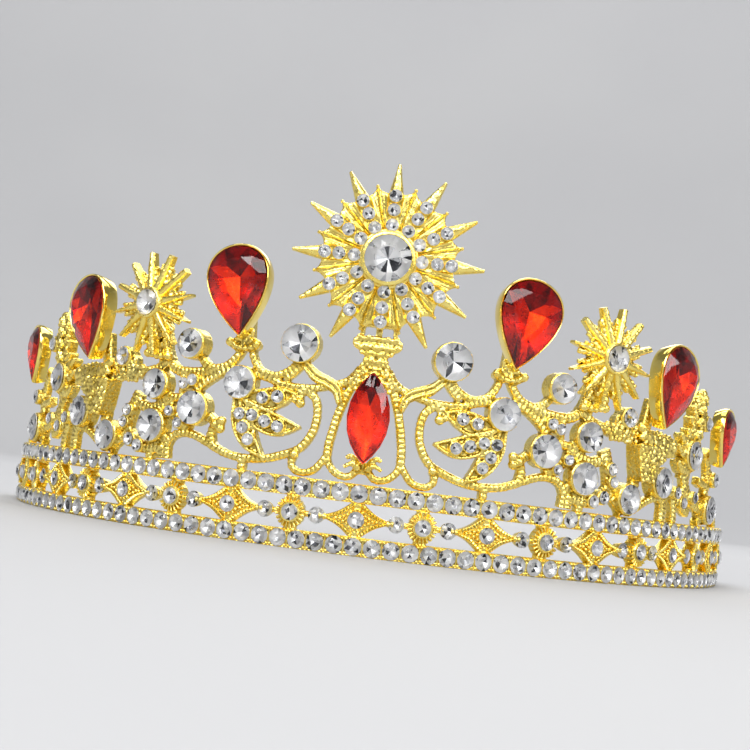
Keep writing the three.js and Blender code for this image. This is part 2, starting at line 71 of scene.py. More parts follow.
wall_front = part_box("lower_rail")[0].y
row_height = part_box("lower_rail")[0].z + RAIL_HALF_HEIGHT * MM
random = np.random.default_rng(7)


# ---- The bent wall ----
def heading(u):
    """The wall's direction at u, in radians from the x axis."""
    return u / FRONT_RADIUS - BEND_EASING * u**3 / 3


# The wall's line, summed up in short straight steps to a little past the band's end
PATH_STEP = 0.5
PATH_SPARE = 20
middles = np.arange(PATH_STEP / 2, BAND_HALF_LENGTH + PATH_SPARE, PATH_STEP)
path_x = np.concatenate([[0], np.cumsum(np.cos(heading(middles)) * PATH_STEP)])
path_y = np.concatenate([[0], np.cumsum(np.sin(heading(middles)) * PATH_STEP)])
path_u = np.arange(len(path_x)) * PATH_STEP


def wall_base(u):
    """Where the wall's front is at u, as x and y in millimetres from the middle."""
    x = np.sign(u) * np.interp(np.abs(u), path_u, path_x)
    return x, np.interp(np.abs(u), path_u, path_y)


def bend(points):
    """Flat (u, v, out) points, bent onto the wall, in metres."""
    u, v, out = np.asarray(points, float).T
    x, y = wall_base(u)
    turn = heading(u)
    bent = np.column_stack([x + np.sin(turn) * out, y - np.cos(turn) * out, v])
    return bent * MM + (0, wall_front, row_height)


def stand(points, u, v, lean=0.0):
    """Rigid (across, up, out) points, stood on the wall at (u, v) and leant aside, in metres."""
    across, up, out = np.asarray(points, float).T
    side = across * math.cos(lean) + up * math.sin(lean)
    height = up * math.cos(lean) - across * math.sin(lean) + v
    x, y = wall_base(u)
    turn = heading(u)
    stood_x = x + math.cos(turn) * side + math.sin(turn) * out
    stood_y = y + math.sin(turn) * side - math.cos(turn) * out
    return np.column_stack([stood_x, stood_y, height]) * MM + (0, wall_front, row_height)


# ---- Shells: lists of points and faces ----
class Shells:
    """Closed shells collected into one mesh. A face's kind picks its material."""

    def __init__(self, shell=None, place=None):
        self.points = []
        self.faces = []
        self.kinds = []
        self.count = 0
        if shell is not None:
            self.add(shell, place)

    def add(self, shell, place=None):
        points, faces = shell[:2]
        kinds = shell[2] if len(shell) > 2 else [0] * len(faces)
        points = np.asarray(points, float)
        self.points.append(points if place is None else place(points))
        self.faces += [tuple(i + self.count for i in face) for face in faces]
        self.kinds += kinds
        self.count += len(points)

    def joined(self):
        return np.concatenate(self.points), self.faces

    def mesh(self, name):
        mesh = bpy.data.meshes.new(name)
        mesh.from_pydata(np.concatenate(self.points), [], self.faces)
        mesh.polygons.foreach_set("material_index", self.kinds)
        return mesh


def tube(rings):
    """A closed shell through equal rings of points, capped at both ends."""
    rings = np.asarray(rings, float)
    count, sides = rings.shape[:2]
    faces = []
    for ring in range(count - 1):
        for side in range(sides):
            a = ring * sides + side
            b = ring * sides + (side + 1) % sides
            faces.append((a, b, b + sides, a + sides))
    faces.append(tuple(range(sides))[::-1])
    faces.append(tuple(range((count - 1) * sides, count * sides)))
    return rings.reshape(-1, 3), faces


def around(radius, angle):
    return radius * math.cos(angle), radius * math.sin(angle)


def lathe(profile, sides=24):
    """A closed shell turned about the out axis; the profile is (radius, out), from axis to axis."""
    angles = np.arange(sides) / sides * 2 * math.pi
    return tube([[(*around(radius, angle), out) for angle in angles] for radius, out in profile])


def hoop(inner, outer, low, high, sides=24):
    """A flat ring with a rounded outer edge, closed on itself."""
    rim = min(outer - inner, high - low) * 0.3
    profile = [
        (inner, low), (outer, low), (outer, high - rim),
        (outer - rim, high), (inner + rim / 2, high), (inner, high - rim),
    ]
    angles = np.arange(sides) / sides * 2 * math.pi
    points = [(*around(radius, angle), out) for angle in angles for radius, out in profile]
    size = len(profile)
    faces = []
    for step in range(sides):
        for corner in range(size):
            a = step * size + corner
            b = step * size + (corner + 1) % size
            shift = ((step + 1) % sides - step) * size
            faces.append((a, b, b + shift, a + shift))
    return np.array(points), faces


def prism(outline, low, high):
    """An outline of (u, v) points, thickened from one distance out to another."""
    outline = np.asarray(outline, float)
    return tube([np.column_stack([outline, np.full(len(outline), out)]) for out in (low, high)])


def bead(u, v, out, radius, flat=1.0, sides=8, rows=5):
    """A small ball; flat is its depth as a share of its width."""
    angles = np.arange(sides) / sides * 2 * math.pi
    rings = []
    for row in range(rows):
        tilt = math.pi * (row + 0.5) / rows
        reach = radius * math.sin(tilt)
        height = out - radius * flat * math.cos(tilt)
        rings.append([(u + reach * math.cos(a), v + reach * math.sin(a), height) for a in angles])
    return tube(rings)


def smooth_path(points, step):
    """Evenly spaced points on a smooth curve through the given points, and their distances along it."""
    points = np.asarray(points, float)
    padded = np.vstack([2 * points[0] - points[1], points, 2 * points[-1] - points[-2]])
    dense = []
    shares = np.arange(12)[:, None] / 12
    for a, b, c, d in zip(padded, padded[1:], padded[2:], padded[3:]):
        square = 2 * a - 5 * b + 4 * c - d
        cube = 3 * b - a - 3 * c + d
        dense.append(b + 0.5 * ((c - a) * shares + square * shares**2 + cube * shares**3))
    dense = np.vstack(dense + [points[-1:]])
    lengths = np.concatenate([[0], np.cumsum(np.linalg.norm(np.diff(dense, axis=0), axis=1))])
    places = np.linspace(0, lengths[-1], max(2, int(lengths[-1] / step) + 1))
    path = np.column_stack([np.interp(places, lengths, dense[:, axis]) for axis in (0, 1)])
    return path, places


# (share of the half-width, height): 0 is the back, and from SHOULDER up the front domes to 1
SHOULDER = 0.62
RIBBON_SECTION = [
    (-1, 0.0), (-1, SHOULDER), (-0.8, 0.86), (-0.42, 0.98), (0, 1.0),
    (0.42, 0.98), (0.8, 0.86), (1, SHOULDER), (1, 0.0),
]


def ribbon(points, width, low=WALL_BACK, high=0.0, rib_pitch=0.85, rib_depth=0.2, dome=0.6, step=0.21):
    """A cast strip from low to high with a domed, ribbed front. width is one number or several along it."""
    path, places = smooth_path(points, step)
    direction = np.gradient(path, axis=0)
    direction /= np.linalg.norm(direction, axis=1)[:, None]
    across = np.column_stack([-direction[:, 1], direction[:, 0]])
    ends = np.atleast_1d(width)
    widths = np.interp(places, np.linspace(0, places[-1], len(ends)), ends)
    valley = 0.5 - 0.5 * np.cos(2 * math.pi * places / rib_pitch)
    rings = []
    for index in range(len(path)):
        ring = []
        drop = rib_depth * valley[index]
        half = widths[index] / 2 * (1 - 0.25 * drop)
        for side, lift in RIBBON_SECTION:
            swell = (lift - SHOULDER) / (1 - SHOULDER)
            out = low if lift == 0 else high - dome * (1 - swell) - drop * swell
            ring.append((*(path[index] + across[index] * side * half), out))
        rings.append(ring)
    return tube(rings)


# ---- Materials ----
def set_inputs(node, inputs):
    for key, value in inputs.items():
        node.inputs[key].default_value = value
    return node


def new_material(name, **inputs):
    material = bpy.data.materials.new(name)
    material.use_nodes = True
    tree = material.node_tree
    return material, tree, set_inputs(tree.nodes["Principled BSDF"], inputs)


def add_node(tree, kind, **inputs):
    return set_inputs(tree.nodes.new(kind), inputs)


def noise(tree, scale, detail=2.0):
    """Soft noise; scale is in waves per metre."""
    place = tree.nodes.new("ShaderNodeTexCoord")
    node = add_node(tree, "ShaderNodeTexNoise", Scale=scale, Detail=detail)
    tree.links.new(place.outputs["Object"], node.inputs["Vector"])
    return node.outputs["Fac"]


def ramp(tree, value, stops):
    node = tree.nodes.new("ShaderNodeValToRGB")
    elements = node.color_ramp.elements
    while len(elements) < len(stops):
        elements.new(0.5)
    for element, (position, colour) in zip(elements, stops):
        element.position = position
        element.color = (*colour, 1)
    tree.links.new(value, node.inputs["Fac"])
    return node.outputs["Color"]


def value_range(tree, value, low, high):
    """Noise stretched to a range of values: most of it lies between 0.3 and 0.7."""
    limits = {"From Min": 0.3, "From Max": 0.7, "To Min": low, "To Max": high}
    node = add_node(tree, "ShaderNodeMapRange", **limits)
    tree.links.new(value, node.inputs["Value"])
    return node.outputs["Result"]


def gold_material(name, rough_low, rough_high, grain, hollow_shade):
    """Yellow gold plate. The last argument is how far painted shade darkens the hollows, standing in for the
    shade that falls there; grain is the depth of its fine pitting.
    """
    material, tree, shader = new_material(name, Metallic=1.0)
    patches = ramp(tree, noise(tree, 260), [(0.3, (0.95, 0.70, 0.13)), (0.7, (1.0, 0.83, 0.26))])
    # Painted shade: Pointiness turns the hollows a darker brownish tone, in place of the shade that falls in
    # them.
    shape = tree.nodes.new("ShaderNodeNewGeometry")
    stops = [(0.43, (hollow_shade, hollow_shade * 0.85, hollow_shade * 0.5)), (0.52, (1.0, 1.0, 1.0))]
    painted_hollow_shade = ramp(tree, shape.outputs["Pointiness"], stops)
    mix = tree.nodes.new("ShaderNodeMix")
    mix.data_type = "RGBA"
    mix.blend_type = "MULTIPLY"
    mix.inputs["Factor"].default_value = 1.0
    tree.links.new(patches, mix.inputs["A"])
    tree.links.new(painted_hollow_shade, mix.inputs["B"])
    tree.links.new(mix.outputs["Result"], shader.inputs["Base Color"])
    tree.links.new(value_range(tree, noise(tree, 900), rough_low, rough_high), shader.inputs["Roughness"])
    bump = add_node(tree, "ShaderNodeBump", Strength=1.0, Distance=grain * MM)
    tree.links.new(noise(tree, 2600, 3.0), bump.inputs["Height"])
    tree.links.new(bump.outputs["Normal"], shader.inputs["Normal"])
    return material


def crystal_material(name, colour, ior, gloss):
    """Cut glass, with faint scratches that vary its gloss."""
    looks = {"Transmission Weight": 1.0, "IOR": ior, "Specular IOR Level": gloss}
    material, tree, shader = new_material(name, **looks)
    tint = ramp(tree, noise(tree, 500), [(0.3, tuple(0.93 * c for c in colour)), (0.7, colour)])
    tree.links.new(tint, shader.inputs["Base Color"])
    tree.links.new(value_range(tree, noise(tree, 1500), 0.0, 0.03), shader.inputs["Roughness"])
    return material


def foil_material(name, dark, light, rough_low, rough_high):
    """The foil behind a cut stone; the darker tints are painted reflections and painted shade on its facets,
    not the foil's own colour.
    """
    material, tree, shader = new_material(name, Metallic=1.0)
    tint = ramp(tree, noise(tree, 700), [(0.35, dark), (0.65, light)])
    tree.links.new(tint, shader.inputs["Base Color"])
    tree.links.new(value_range(tree, noise(tree, 1200), rough_low, rough_high), shader.inputs["Roughness"])
    return material


# The last number in each is the painted shade in the hollows: the lower it is, the darker they are.
CAST_GOLD = gold_material("cast_gold", 0.16, 0.30, 0.08, 0.22)
POLISHED_GOLD = gold_material("polished_gold", 0.08, 0.16, 0.012, 0.75)
CLEAR_GLASS = crystal_material("clear_glass", (1.0, 1.0, 1.0), 1.55, 0.5)
SILVER_FOIL = foil_material("silver_foil", (0.98, 0.98, 0.985), (1.0, 1.0, 1.0), 0.36, 0.48)
# Painted reflections: the grey and dark foils stand in for dim and dark surroundings mirrored in the silver
# foil, which is really one colour.
GREY_REFLECTION_FOIL = foil_material("painted_grey_reflection_foil", (0.60, 0.61, 0.63), (0.76, 0.765, 0.78), 0.24, 0.36)
DARK_REFLECTION_FOIL = foil_material("painted_dark_reflection_foil", (0.04, 0.042, 0.05), (0.16, 0.165, 0.18), 0.1, 0.2)
RED_GLASS = crystal_material("red_glass", (1.0, 0.07, 0.02), 1.5, 0.1)
RED_FOIL = foil_material("red_foil", (0.90, 0.32, 0.08), (1.0, 0.45, 0.12), 0.24, 0.36)
# Painted shade and reflections: the dark red foil paints shade under a red stone's top, and the wine foil
# paints pinkish reflections.
WINE_REFLECTION_FOIL = foil_material("painted_wine_reflection_foil", (0.34, 0.03, 0.16), (0.52, 0.05, 0.26), 0.14, 0.24)
SHADED_RED_FOIL = foil_material("painted_shade_red_foil", (0.10, 0.012, 0.02), (0.30, 0.03, 0.05), 0.1, 0.2)
CLEAR_STONE = [CLEAR_GLASS, SILVER_FOIL, DARK_REFLECTION_FOIL, GREY_REFLECTION_FOIL]
RED_STONE = [RED_GLASS, RED_FOIL, SHADED_RED_FOIL, WINE_REFLECTION_FOIL]


# ---- Finished pieces ----
def add_object(name, data):
    thing = bpy.data.objects.new(name, data)
    bpy.context.scene.collection.objects.link(thing)
    return thing


def piece(name, mesh, materials, nodes=(), smooth_below=None):
    """One visible piece: its normals face out, and it stands for the CAD nodes named."""
    shaped = bmesh.new()
    shaped.from_mesh(mesh)
    bmesh.ops.recalc_face_normals(shaped, faces=shaped.faces)
    shaped.to_mesh(mesh)
    shaped.free()
    for material in materials:
        mesh.materials.append(material)
    mesh.polygons.foreach_set("use_smooth", [smooth_below is not None] * len(mesh.polygons))
    if smooth_below is not None:
        mesh.set_sharp_from_angle(angle=math.radians(smooth_below))
    thing = add_object(name, mesh)
    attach(thing, "root")
    if nodes:
        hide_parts(*nodes)


def gold_piece(name, shells, smooth_below, material=CAST_GOLD):
    piece(name, shells.mesh(name), [material], [name], smooth_below)


def clear_piece(name, shells, nodes=()):
    piece(name, shells.mesh(name), CLEAR_STONE, nodes)


VOXEL = 0.19


def melt(shells, grain=0.14, grain_size=0.55):
    """Melts shells into one cast skin with a granulated face. Returns its points and faces."""
    flesh = add_object("melt", shells.mesh("melt"))
    remesh = flesh.modifiers.new("skin", "REMESH")
    remesh.mode = "VOXEL"
    remesh.voxel_size = VOXEL
    soften = flesh.modifiers.new("soften", "SMOOTH")
    soften.factor = 0.4
    soften.iterations = 2
    pattern = bpy.data.textures.new("grain", "VORONOI")
    pattern.noise_scale = grain_size
    pattern.distance_metric = "DISTANCE"
    rough = flesh.modifiers.new("rough", "DISPLACE")
    rough.texture = pattern
    rough.texture_coords = "LOCAL"
    rough.strength = -grain
    rough.mid_level = 0.45
    solid = flesh.evaluated_get(bpy.context.evaluated_depsgraph_get()).to_mesh()
    points = np.empty(len(solid.vertices) * 3)
    solid.vertices.foreach_get("co", points)
    faces = [tuple(face.vertices) for face in solid.polygons]
    flesh.to_mesh_clear()
    bpy.data.objects.remove(flesh)
    return points.reshape(-1, 3), faces


def other_side(points):
    """The same points on the other side of the middle."""
    return np.asarray(points) * (-1, 1, 1)


SIDES = [("right", -1), ("left", 1)]


# ---- Cut stones: points are (across, up, out) with the girdle at out = 0 ----
def round_outline(radius):
    return lambda t: np.column_stack([radius * np.sin(t), -radius * np.cos(t)])


def teardrop(half_width, half_length):
    """Point down. 0.77 is the widest place of sin(t) * sin(t / 2)."""
    return lambda t: np.column_stack(
        [half_width / 0.77 * np.sin(t) * np.sin(t / 2), -half_length * np.cos(t)]
    )


def lens(half_width, half_length):
    """Two equal arcs that meet in points above and below."""
    radius = (half_length**2 + half_width**2) / (2 * half_width)

    def outline(t):
        up = -half_length * np.cos(t)
        reach = np.maximum(np.sqrt(radius**2 - up**2) - (radius - half_width), 0)
        return np.column_stack([np.sign(np.sin(t)) * reach, up])

    return outline


# A facet's kind, as its place in CLEAR_STONE and RED_STONE; the last two are painted dark and middle tones on
# the foil, standing in for reflections and shade
GLASS, FOIL, PAINTED_DARK, PAINTED_MIDDLE = 0, 1, 2, 3
# Share of facets painted dark as a reflection, how much it counts round the keel and near the girdle, and
# share of facets painted grey
DARK_REFLECTION_SHARE = 0.09
CENTRE_WEIGHT = 2.4
OUTER_WEIGHT = 0.6
GREY_REFLECTION_SHARE = 0.1
GREY_PER_DARK = 2.5
# Where the keel facets end: share of the way out to the girdle, and of the pavilion's depth
KEEL_REACH = 0.52
KEEL_DEPTH = 0.62


def cut_stone(outline, crown, pavilion, count, table, keel=(0, 0), dark_reflection_share=DARK_REFLECTION_SHARE, shaded_mains=()):
    """A brilliant cut over any outline: glass above the girdle, foil below it, some of it painted dark or
    grey as reflections.

    crown and pavilion are the heights above and below the girdle, count the number of main
    facets, table the size of the flat top, keel the place of the lowest point, and the last
    argument the main facets painted dark, as painted shade, whatever chance says.
    """
    half_steps = np.arange(2 * count) * math.pi / count
    girdle = outline(half_steps)
    mains, between = girdle[0::2], girdle[1::2]
    centre = np.array(keel, float)

    def level(corners, scale, out):
        spread = centre * (1 - scale) + corners * scale
        return np.column_stack([spread, np.full(len(spread), out)])

    band = 0.06 * crown
    points = np.vstack(
        [
            level(between, table, crown),
            level(mains, (1 + table) / 2, crown * 0.58),
            level(girdle, 1, band),
            level(girdle, 1, -band),
            level(mains, KEEL_REACH, -pavilion * KEEL_DEPTH),
            [(*centre, -pavilion)],
        ]
    )
    first_mid = count
    first_top = 2 * count
    first_low = 4 * count
    first_keel = 6 * count
    tip = 7 * count
    faces = [tuple(range(count))]
    kinds = [GLASS]
    for index in range(count):
        after = (index + 1) % count
        main_top = first_top + 2 * index
        half_top = main_top + 1
        next_top = first_top + 2 * after
        main_low = first_low + 2 * index
        half_low = main_low + 1
        next_low = first_low + 2 * after
        crown_faces = [
            (index, first_mid + after, (index + 1) % count),
            (index, first_mid + index, half_top, first_mid + after),
            (first_mid + index, main_top, half_top),
            (first_mid + after, half_top, next_top),
            (main_top, main_low, half_low, half_top),
            (half_top, half_low, next_low, next_top),
        ]
        pavilion_faces = [
            (main_low, first_keel + index, half_low),
            (half_low, first_keel + after, next_low),
            (first_keel + index, tip, first_keel + after),
            (first_keel + index, first_keel + after, half_low),
        ]
        faces += crown_faces + pavilion_faces
        # Painted reflections: some foil facets are painted dark or grey by chance, most often the keel
        # facets, as if the foil mirrored dark surroundings.
        foils = [FOIL] * 6
        for facet in (2, 3, 4, 5):
            chance = random.uniform()
            share = dark_reflection_share * (CENTRE_WEIGHT if facet == 4 else OUTER_WEIGHT)
            if chance < share:
                foils[facet] = PAINTED_DARK
            elif chance < GREY_REFLECTION_SHARE + GREY_PER_DARK * share:
                foils[facet] = PAINTED_MIDDLE
        # Painted shade: the chosen mains are painted dark, and their neighbours a middle tone.
        if index in shaded_mains:
            foils[2:] = [PAINTED_MIDDLE, PAINTED_MIDDLE, PAINTED_DARK, PAINTED_DARK]
        elif index + 1 in shaded_mains or index - 1 in shaded_mains:
            foils[2:4] = [PAINTED_MIDDLE, PAINTED_MIDDLE]
        kinds += [GLASS] * 4 + foils
    return points, faces, kinds


def raised(shell, out):
    """The same shell, moved out from the wall."""
    return (np.asarray(shell[0]) + (0, 0, out), *shell[1:])


def spun(shell, angle):
    """The same shell, turned about the out axis."""
    turn = np.array(Matrix.Rotation(angle, 3, "Z"))
    return (np.asarray(shell[0]) @ turn.T, *shell[1:])


def small_stone(radius, girdle_out):
    """A round rhinestone, turned by chance as glued stones are."""
    stone = cut_stone(round_outline(radius), 0.32 * radius, 0.45 * radius, 6, 0.5)
    return spun(raised(stone, girdle_out), random.uniform(0, math.pi))


def add_small_stones(name, places, nodes=()):
    """places are (u, v, radius, girdle's distance out)."""
    stones = Shells()
    for u, v, radius, out in places:
        stones.add(small_stone(radius, out), lambda p, u=u, v=v: stand(p, u, v))
    clear_piece(name, stones, nodes)


def moved(shell, u, v):
    """The same shell, moved along the wall."""
    return (np.asarray(shell[0]) + (u, v, 0), *shell[1:])


# ---- Rails ----
RAIL_STONE = 1.65
RAIL_GIRDLE_OUT = 0.16
GAP_BEAD = 0.33
# The channel's section, as (up, out) from its middle
RAIL_PROFILE = [
    (-1.72, -2), (-1.75, -1.9), (-1.75, -0.1), (-1.62, 0.0), (-1.42, -0.1), (-1.3, -0.75),
    (1.3, -0.75), (1.42, -0.1), (1.62, 0.0), (1.75, -0.1), (1.75, -1.9), (1.72, -2),
]


def rail(name, v):
    """A channel with a cup for each stone, and a bar and four beads in each gap."""
    shells = Shells()
    stones = []
    edges = np.arange(-BAND_HALF_LENGTH, BAND_HALF_LENGTH + 0.1, 0.5)
    section = [[(u, v + up, out) for up, out in RAIL_PROFILE] for u in edges]
    shells.add(tube(section), bend)
    cup = hoop(1.42, 1.66, -1.0, 0.0, 20)
    for step in range(-STONES_PER_SIDE, STONES_PER_SIDE + 1):
        u = step * STONE_PITCH
        stones.append((u, v, RAIL_STONE, RAIL_GIRDLE_OUT))
        shells.add(cup, lambda p, u=u: stand(p, u, v))
        if step < STONES_PER_SIDE:
            gap = u + STONE_PITCH / 2
            shells.add(ribbon([(gap, v - 1.5), (gap, v + 1.5)], 0.32, -1, 0.02, rib_depth=0, dome=0), bend)
            for side in (-0.36, 0.36):
                for end in (-1.3, 1.3):
                    shells.add(bead(gap + side, v + end, 0.06, GAP_BEAD), bend)
    gold_piece(name, shells, 40)
    add_small_stones(f"{name}_stones", stones, [f"{name}_stones"])


rail("lower_rail", 0)
rail("upper_rail", UPPER_RAIL_V)


# ---- Middle row ----
# The posts run a little into both rails
LATTICE_LOW = RAIL_HALF_HEIGHT - 0.1 - MIDDLE_ROW_V
LATTICE_HIGH = UPPER_RAIL_V - RAIL_HALF_HEIGHT + 0.1 - MIDDLE_ROW_V
LOZENGES_PER_SIDE = 5
END_SQUEEZE = 0.94
END_BAR_WIDTH = 1.3
END_BAR_INSET = 0.7
LOZENGE_GRAINS = 14
MIDDLE_STONE = 1.55
SINGLE_FROM_FLOWER = 4.9
FLOWER_RIBS = 20
FLOWER_WIDTH = 0.93


def post(width):
    """An upright strip between the rails, at u = 0."""
    widths = [width, width * 0.85, width]
    return ribbon([(0, LATTICE_LOW), (0, LATTICE_HIGH)], widths, high=-0.2, rib_depth=0.1)


LOZENGE = [
    (5.4, 0), (2.9, 1), (1.1, 2.7), (-1.1, 2.7), (-2.9, 1),
    (-5.4, 0), (-2.9, -1), (-1.1, -2.7), (1.1, -2.7), (2.9, -1),
]


def lozenge_unit():
    """A lozenge about (0, 0) with a raised beaded edge, grains beside its stone, and two arms."""
    shells = Shells()
    shells.add(post(2.3))
    shells.add(prism(LOZENGE, -1.9, -0.55))
    for side in (-1, 1):
        for up in (-1, 1):
            edge = [(side * 5.7, up * 0.15), (side * 3.1, up * 1.1), (side * 0.7, up * 2.9)]
            shells.add(ribbon(edge, [0.5, 0.85, 0.85], WALL_BACK, 0.25, 0.62, 0.3, 0.4, 0.155))
        for across, up in ((2.35, 0.45), (2.35, -0.45), (3.05, 0), (3.8, 0)):
            shells.add(bead(side * across, up, -0.25, 0.4))
        shells.add(ribbon([(side * 4.8, 0), (side * 6.9, 0)], 1.0, low=-1.7, high=0.05, rib_pitch=0.7))
        shells.add(bead(side * 5.9, 0, -0.1, 0.62))
    for step in range(LOZENGE_GRAINS):
        angle = 2 * math.pi * step / LOZENGE_GRAINS
        shells.add(bead(*around(1.85, angle), 0.1, 0.3))
    shells.add(hoop(1.4, 1.66, -1.9, 0.32))
    return shells


def flower_unit():
    """A fluted flower about (0, 0) with the cups of the single stones beside it."""
    shells = Shells()
    shells.add(post(2.5))
    squeeze = (FLOWER_WIDTH, 1, 1)
    floor = lathe([(0.1, -2), (2.7, -2), (2.75, -1.0), (2.6, -0.6), (1.8, -0.35), (0.1, -0.9)], 40)
    shells.add(floor, lambda p: p * squeeze)
    for rib in range(FLOWER_RIBS):
        angle = 2 * math.pi * (rib + 0.5) / FLOWER_RIBS
        path = [around(1.8, angle), around(2.9, angle)]
        flute = ribbon(path, [0.36, 0.62], low=-1.6, high=0.45, rib_depth=0, dome=0.5)
        shells.add(flute, lambda p: p * squeeze)
    shells.add(hoop(1.45, 1.95, -1.9, 0.6))
    single = lathe([(0.1, -1.9), (1.25, -1.9), (1.5, -0.5), (1.5, -0.1), (1.36, -0.08), (0.1, -0.9)])
    for side in (-1, 1):
        shells.add(ribbon([(side * 2.2, 0), (side * 4, 0)], 1.1, low=-1.7, high=-0.1))
        shells.add(ribbon([(side * 5.8, 0), (side * 6.8, 0)], 1.1, low=-1.7, high=-0.1))
        shells.add(moved(single, side * SINGLE_FROM_FLOWER, 0))
    return shells


def middle_row():
    shells = Shells()
    stones = []
    lozenge = lozenge_unit().joined()
    flower = flower_unit().joined()
    for index in range(-LOZENGES_PER_SIDE, LOZENGES_PER_SIDE + 1):
        u = index * 2 * FLOWER_U
        narrow = 1 if abs(index) < LOZENGES_PER_SIDE else END_SQUEEZE
        shells.add(lozenge, lambda p, u=u, narrow=narrow: bend(p * (narrow, 1, 1) + (u, MIDDLE_ROW_V, 0)))
        stones.append((u, MIDDLE_ROW_V, MIDDLE_STONE, 0.5))
    for index in range(-LOZENGES_PER_SIDE, LOZENGES_PER_SIDE):
        u = (2 * index + 1) * FLOWER_U
        shells.add(flower, lambda p, u=u: bend(p + (u, MIDDLE_ROW_V, 0)))
        stones.append((u, MIDDLE_ROW_V, MIDDLE_STONE, 0.8))
        for side in (-1, 1):
            stones.append((u + side * SINGLE_FROM_FLOWER, MIDDLE_ROW_V, MIDDLE_STONE, 0.15))
    for end in (-1, 1):
        u = end * (BAND_HALF_LENGTH - END_BAR_INSET)
        path = [(u, RAIL_HALF_HEIGHT), (u, UPPER_RAIL_V - RAIL_HALF_HEIGHT)]
        shells.add(ribbon(path, END_BAR_WIDTH, low=-1.8, high=-0.2), bend)
    gold_piece("middle_row", shells, 45)
    add_small_stones("middle_row_stones", stones)


middle_row()

EYELET_U = BAND_HALF_LENGTH + 2.2
EYELET_HOLE = 1.1
EYELET_RADIUS = 1.94
for side_name, side in SIDES:
    wire = hoop(EYELET_HOLE, EYELET_RADIUS, -1.6, -0.4, 40)
    eyelet = Shells(wire, lambda p: stand(p, side * EYELET_U, MIDDLE_ROW_V))
    gold_piece(f"{side_name}_end_eyelet", eyelet, 50, POLISHED_GOLD)


# ---- Crest, drawn for the wearer's left and mirrored ----
# Larger stones on raised seats: name, panel, u, v, radius, how far the seat stands out
ROUND_STONES = [
    ("top", "scroll_panel", 14.1, 35.8, 3.35, 1.2),
    ("pedestal", "scroll_panel", 25.1, 27.5, 2.9, 0.6),
    ("perch", "scroll_panel", 36.2, 33.9, 2.65, 1.2),
    ("ring", "scroll_panel", 34.2, 21.8, 3, 0.9),
    ("cluster_upper", "stone_cluster", 43.8, 25.7, 2.7, 0.7),
    ("cluster_lower", "stone_cluster", 43.6, 17.7, 2.95, 0.7),
    ("bud", "stone_cluster", 53.5, 30.6, 1.7, 0.6),
    ("arch", "vase_panel", 55.8, 14.9, 2.75, 0.7),
    ("vase_foot", "vase_panel", 65.5, 19, 2.85, 1),
    ("leaf_lower", "leaf_column", 77, 25.6, 2.8, 1),
    ("end_lower", "end_scroll", 89.5, 14.9, 2.8, 0.8),
]
# Small stones by panel: u, v, radius, girdle's distance out
SMALL_STONES = {
    "scroll_panel": [
        (17.3, 25.6, 1.2, 0.75), (20.2, 25.1, 1.15, 0.75),
        (16.6, 20.1, 1.15, 0.75), (19.2, 20.8, 1.2, 0.75), (21.8, 21.7, 1.15, 0.75),
        (24.3, 21.7, 1.15, 0.75), (23.4, 19.2, 1.15, 0.75), (22, 17.1, 1.15, 0.75),
        (35.3, 27.1, 1.1, 0.7), (37.2, 26.3, 1.1, 0.7),
    ],
    "stone_cluster": [
        (39.8, 20.8, 1, 0.7), (37.5, 18.7, 1, 0.7), (46.7, 13.6, 1.2, 0.7), (49.2, 14.6, 1.3, 0.7),
        (50.7, 20.2, 1.2, 0.7), (51.4, 17.8, 1.1, 0.7),
    ],
    "leaf_column": [
        (72.6, 17.5, 1.2, 0.7), (75.7, 15.6, 1.2, 0.7), (80.9, 17, 1.2, 0.7), (81.3, 32.6, 1.5, 1.9),
    ],
    "end_scroll": [(92, 21.4, 1.5, 1.1)],
}

# The neck: a bow and, above it, three bars with an opening on each side of the middle one
BOW = [
    (-0.2, 38.5), (3.5, 38.5), (4.3, 38.1), (4.3, 37), (3.5, 36), (2.2, 35), (2.1, 34),
    (2.8, 32.4), (4, 30.8), (4.6, 29.6), (3.2, 28.4), (2, 29.6), (-0.2, 30),
]
NECK_BARS = [
    [(-0.2, 38), (0.6, 38), (0.6, 46), (-0.2, 46)],
    [(2.7, 38), (3.6, 38), (3.3, 42), (2.8, 46), (2.2, 46), (2.6, 41)],
    [(-0.2, 40.4), (3.2, 40.4), (3, 46), (-0.2, 46)],
]
# Raised lines on the bow: points, width, height, depth of the ribs
BOW_LINES = [
    ([(-0.2, 38.3), (2.4, 38.2), (4, 38.5)], 0.75, 0.5, 0.1),
    ([(-0.2, 36.6), (2.2, 36.7), (3.4, 36.4), (4.2, 37), (4.2, 38)], 0.8, 0.6, 0.15),
    ([(2, 36.2), (1.7, 34.4), (2.1, 33), (3.2, 31.2), (4.4, 29.8)], 0.7, 0.4, 0.25),
]
# Two small leaves on each side under the marquise: points, widths, height
BARBS = [
    ([(0.9, 13.8), (1.3, 15.4), (2.4, 16.3), (3.3, 15.9)], [1.3, 1.2, 0.7], 0.5),
    ([(0.9, 14.6), (2.3, 14.9), (3.5, 14.2)], [1.1, 0.6], 0.7),
]
# Smooth double-grooved band from the top stone down beside the marquise
WAVE = [(13.2, 32.3), (10.8, 30.2), (8.3, 29.2), (6.5, 28), (5.6, 25.8)]

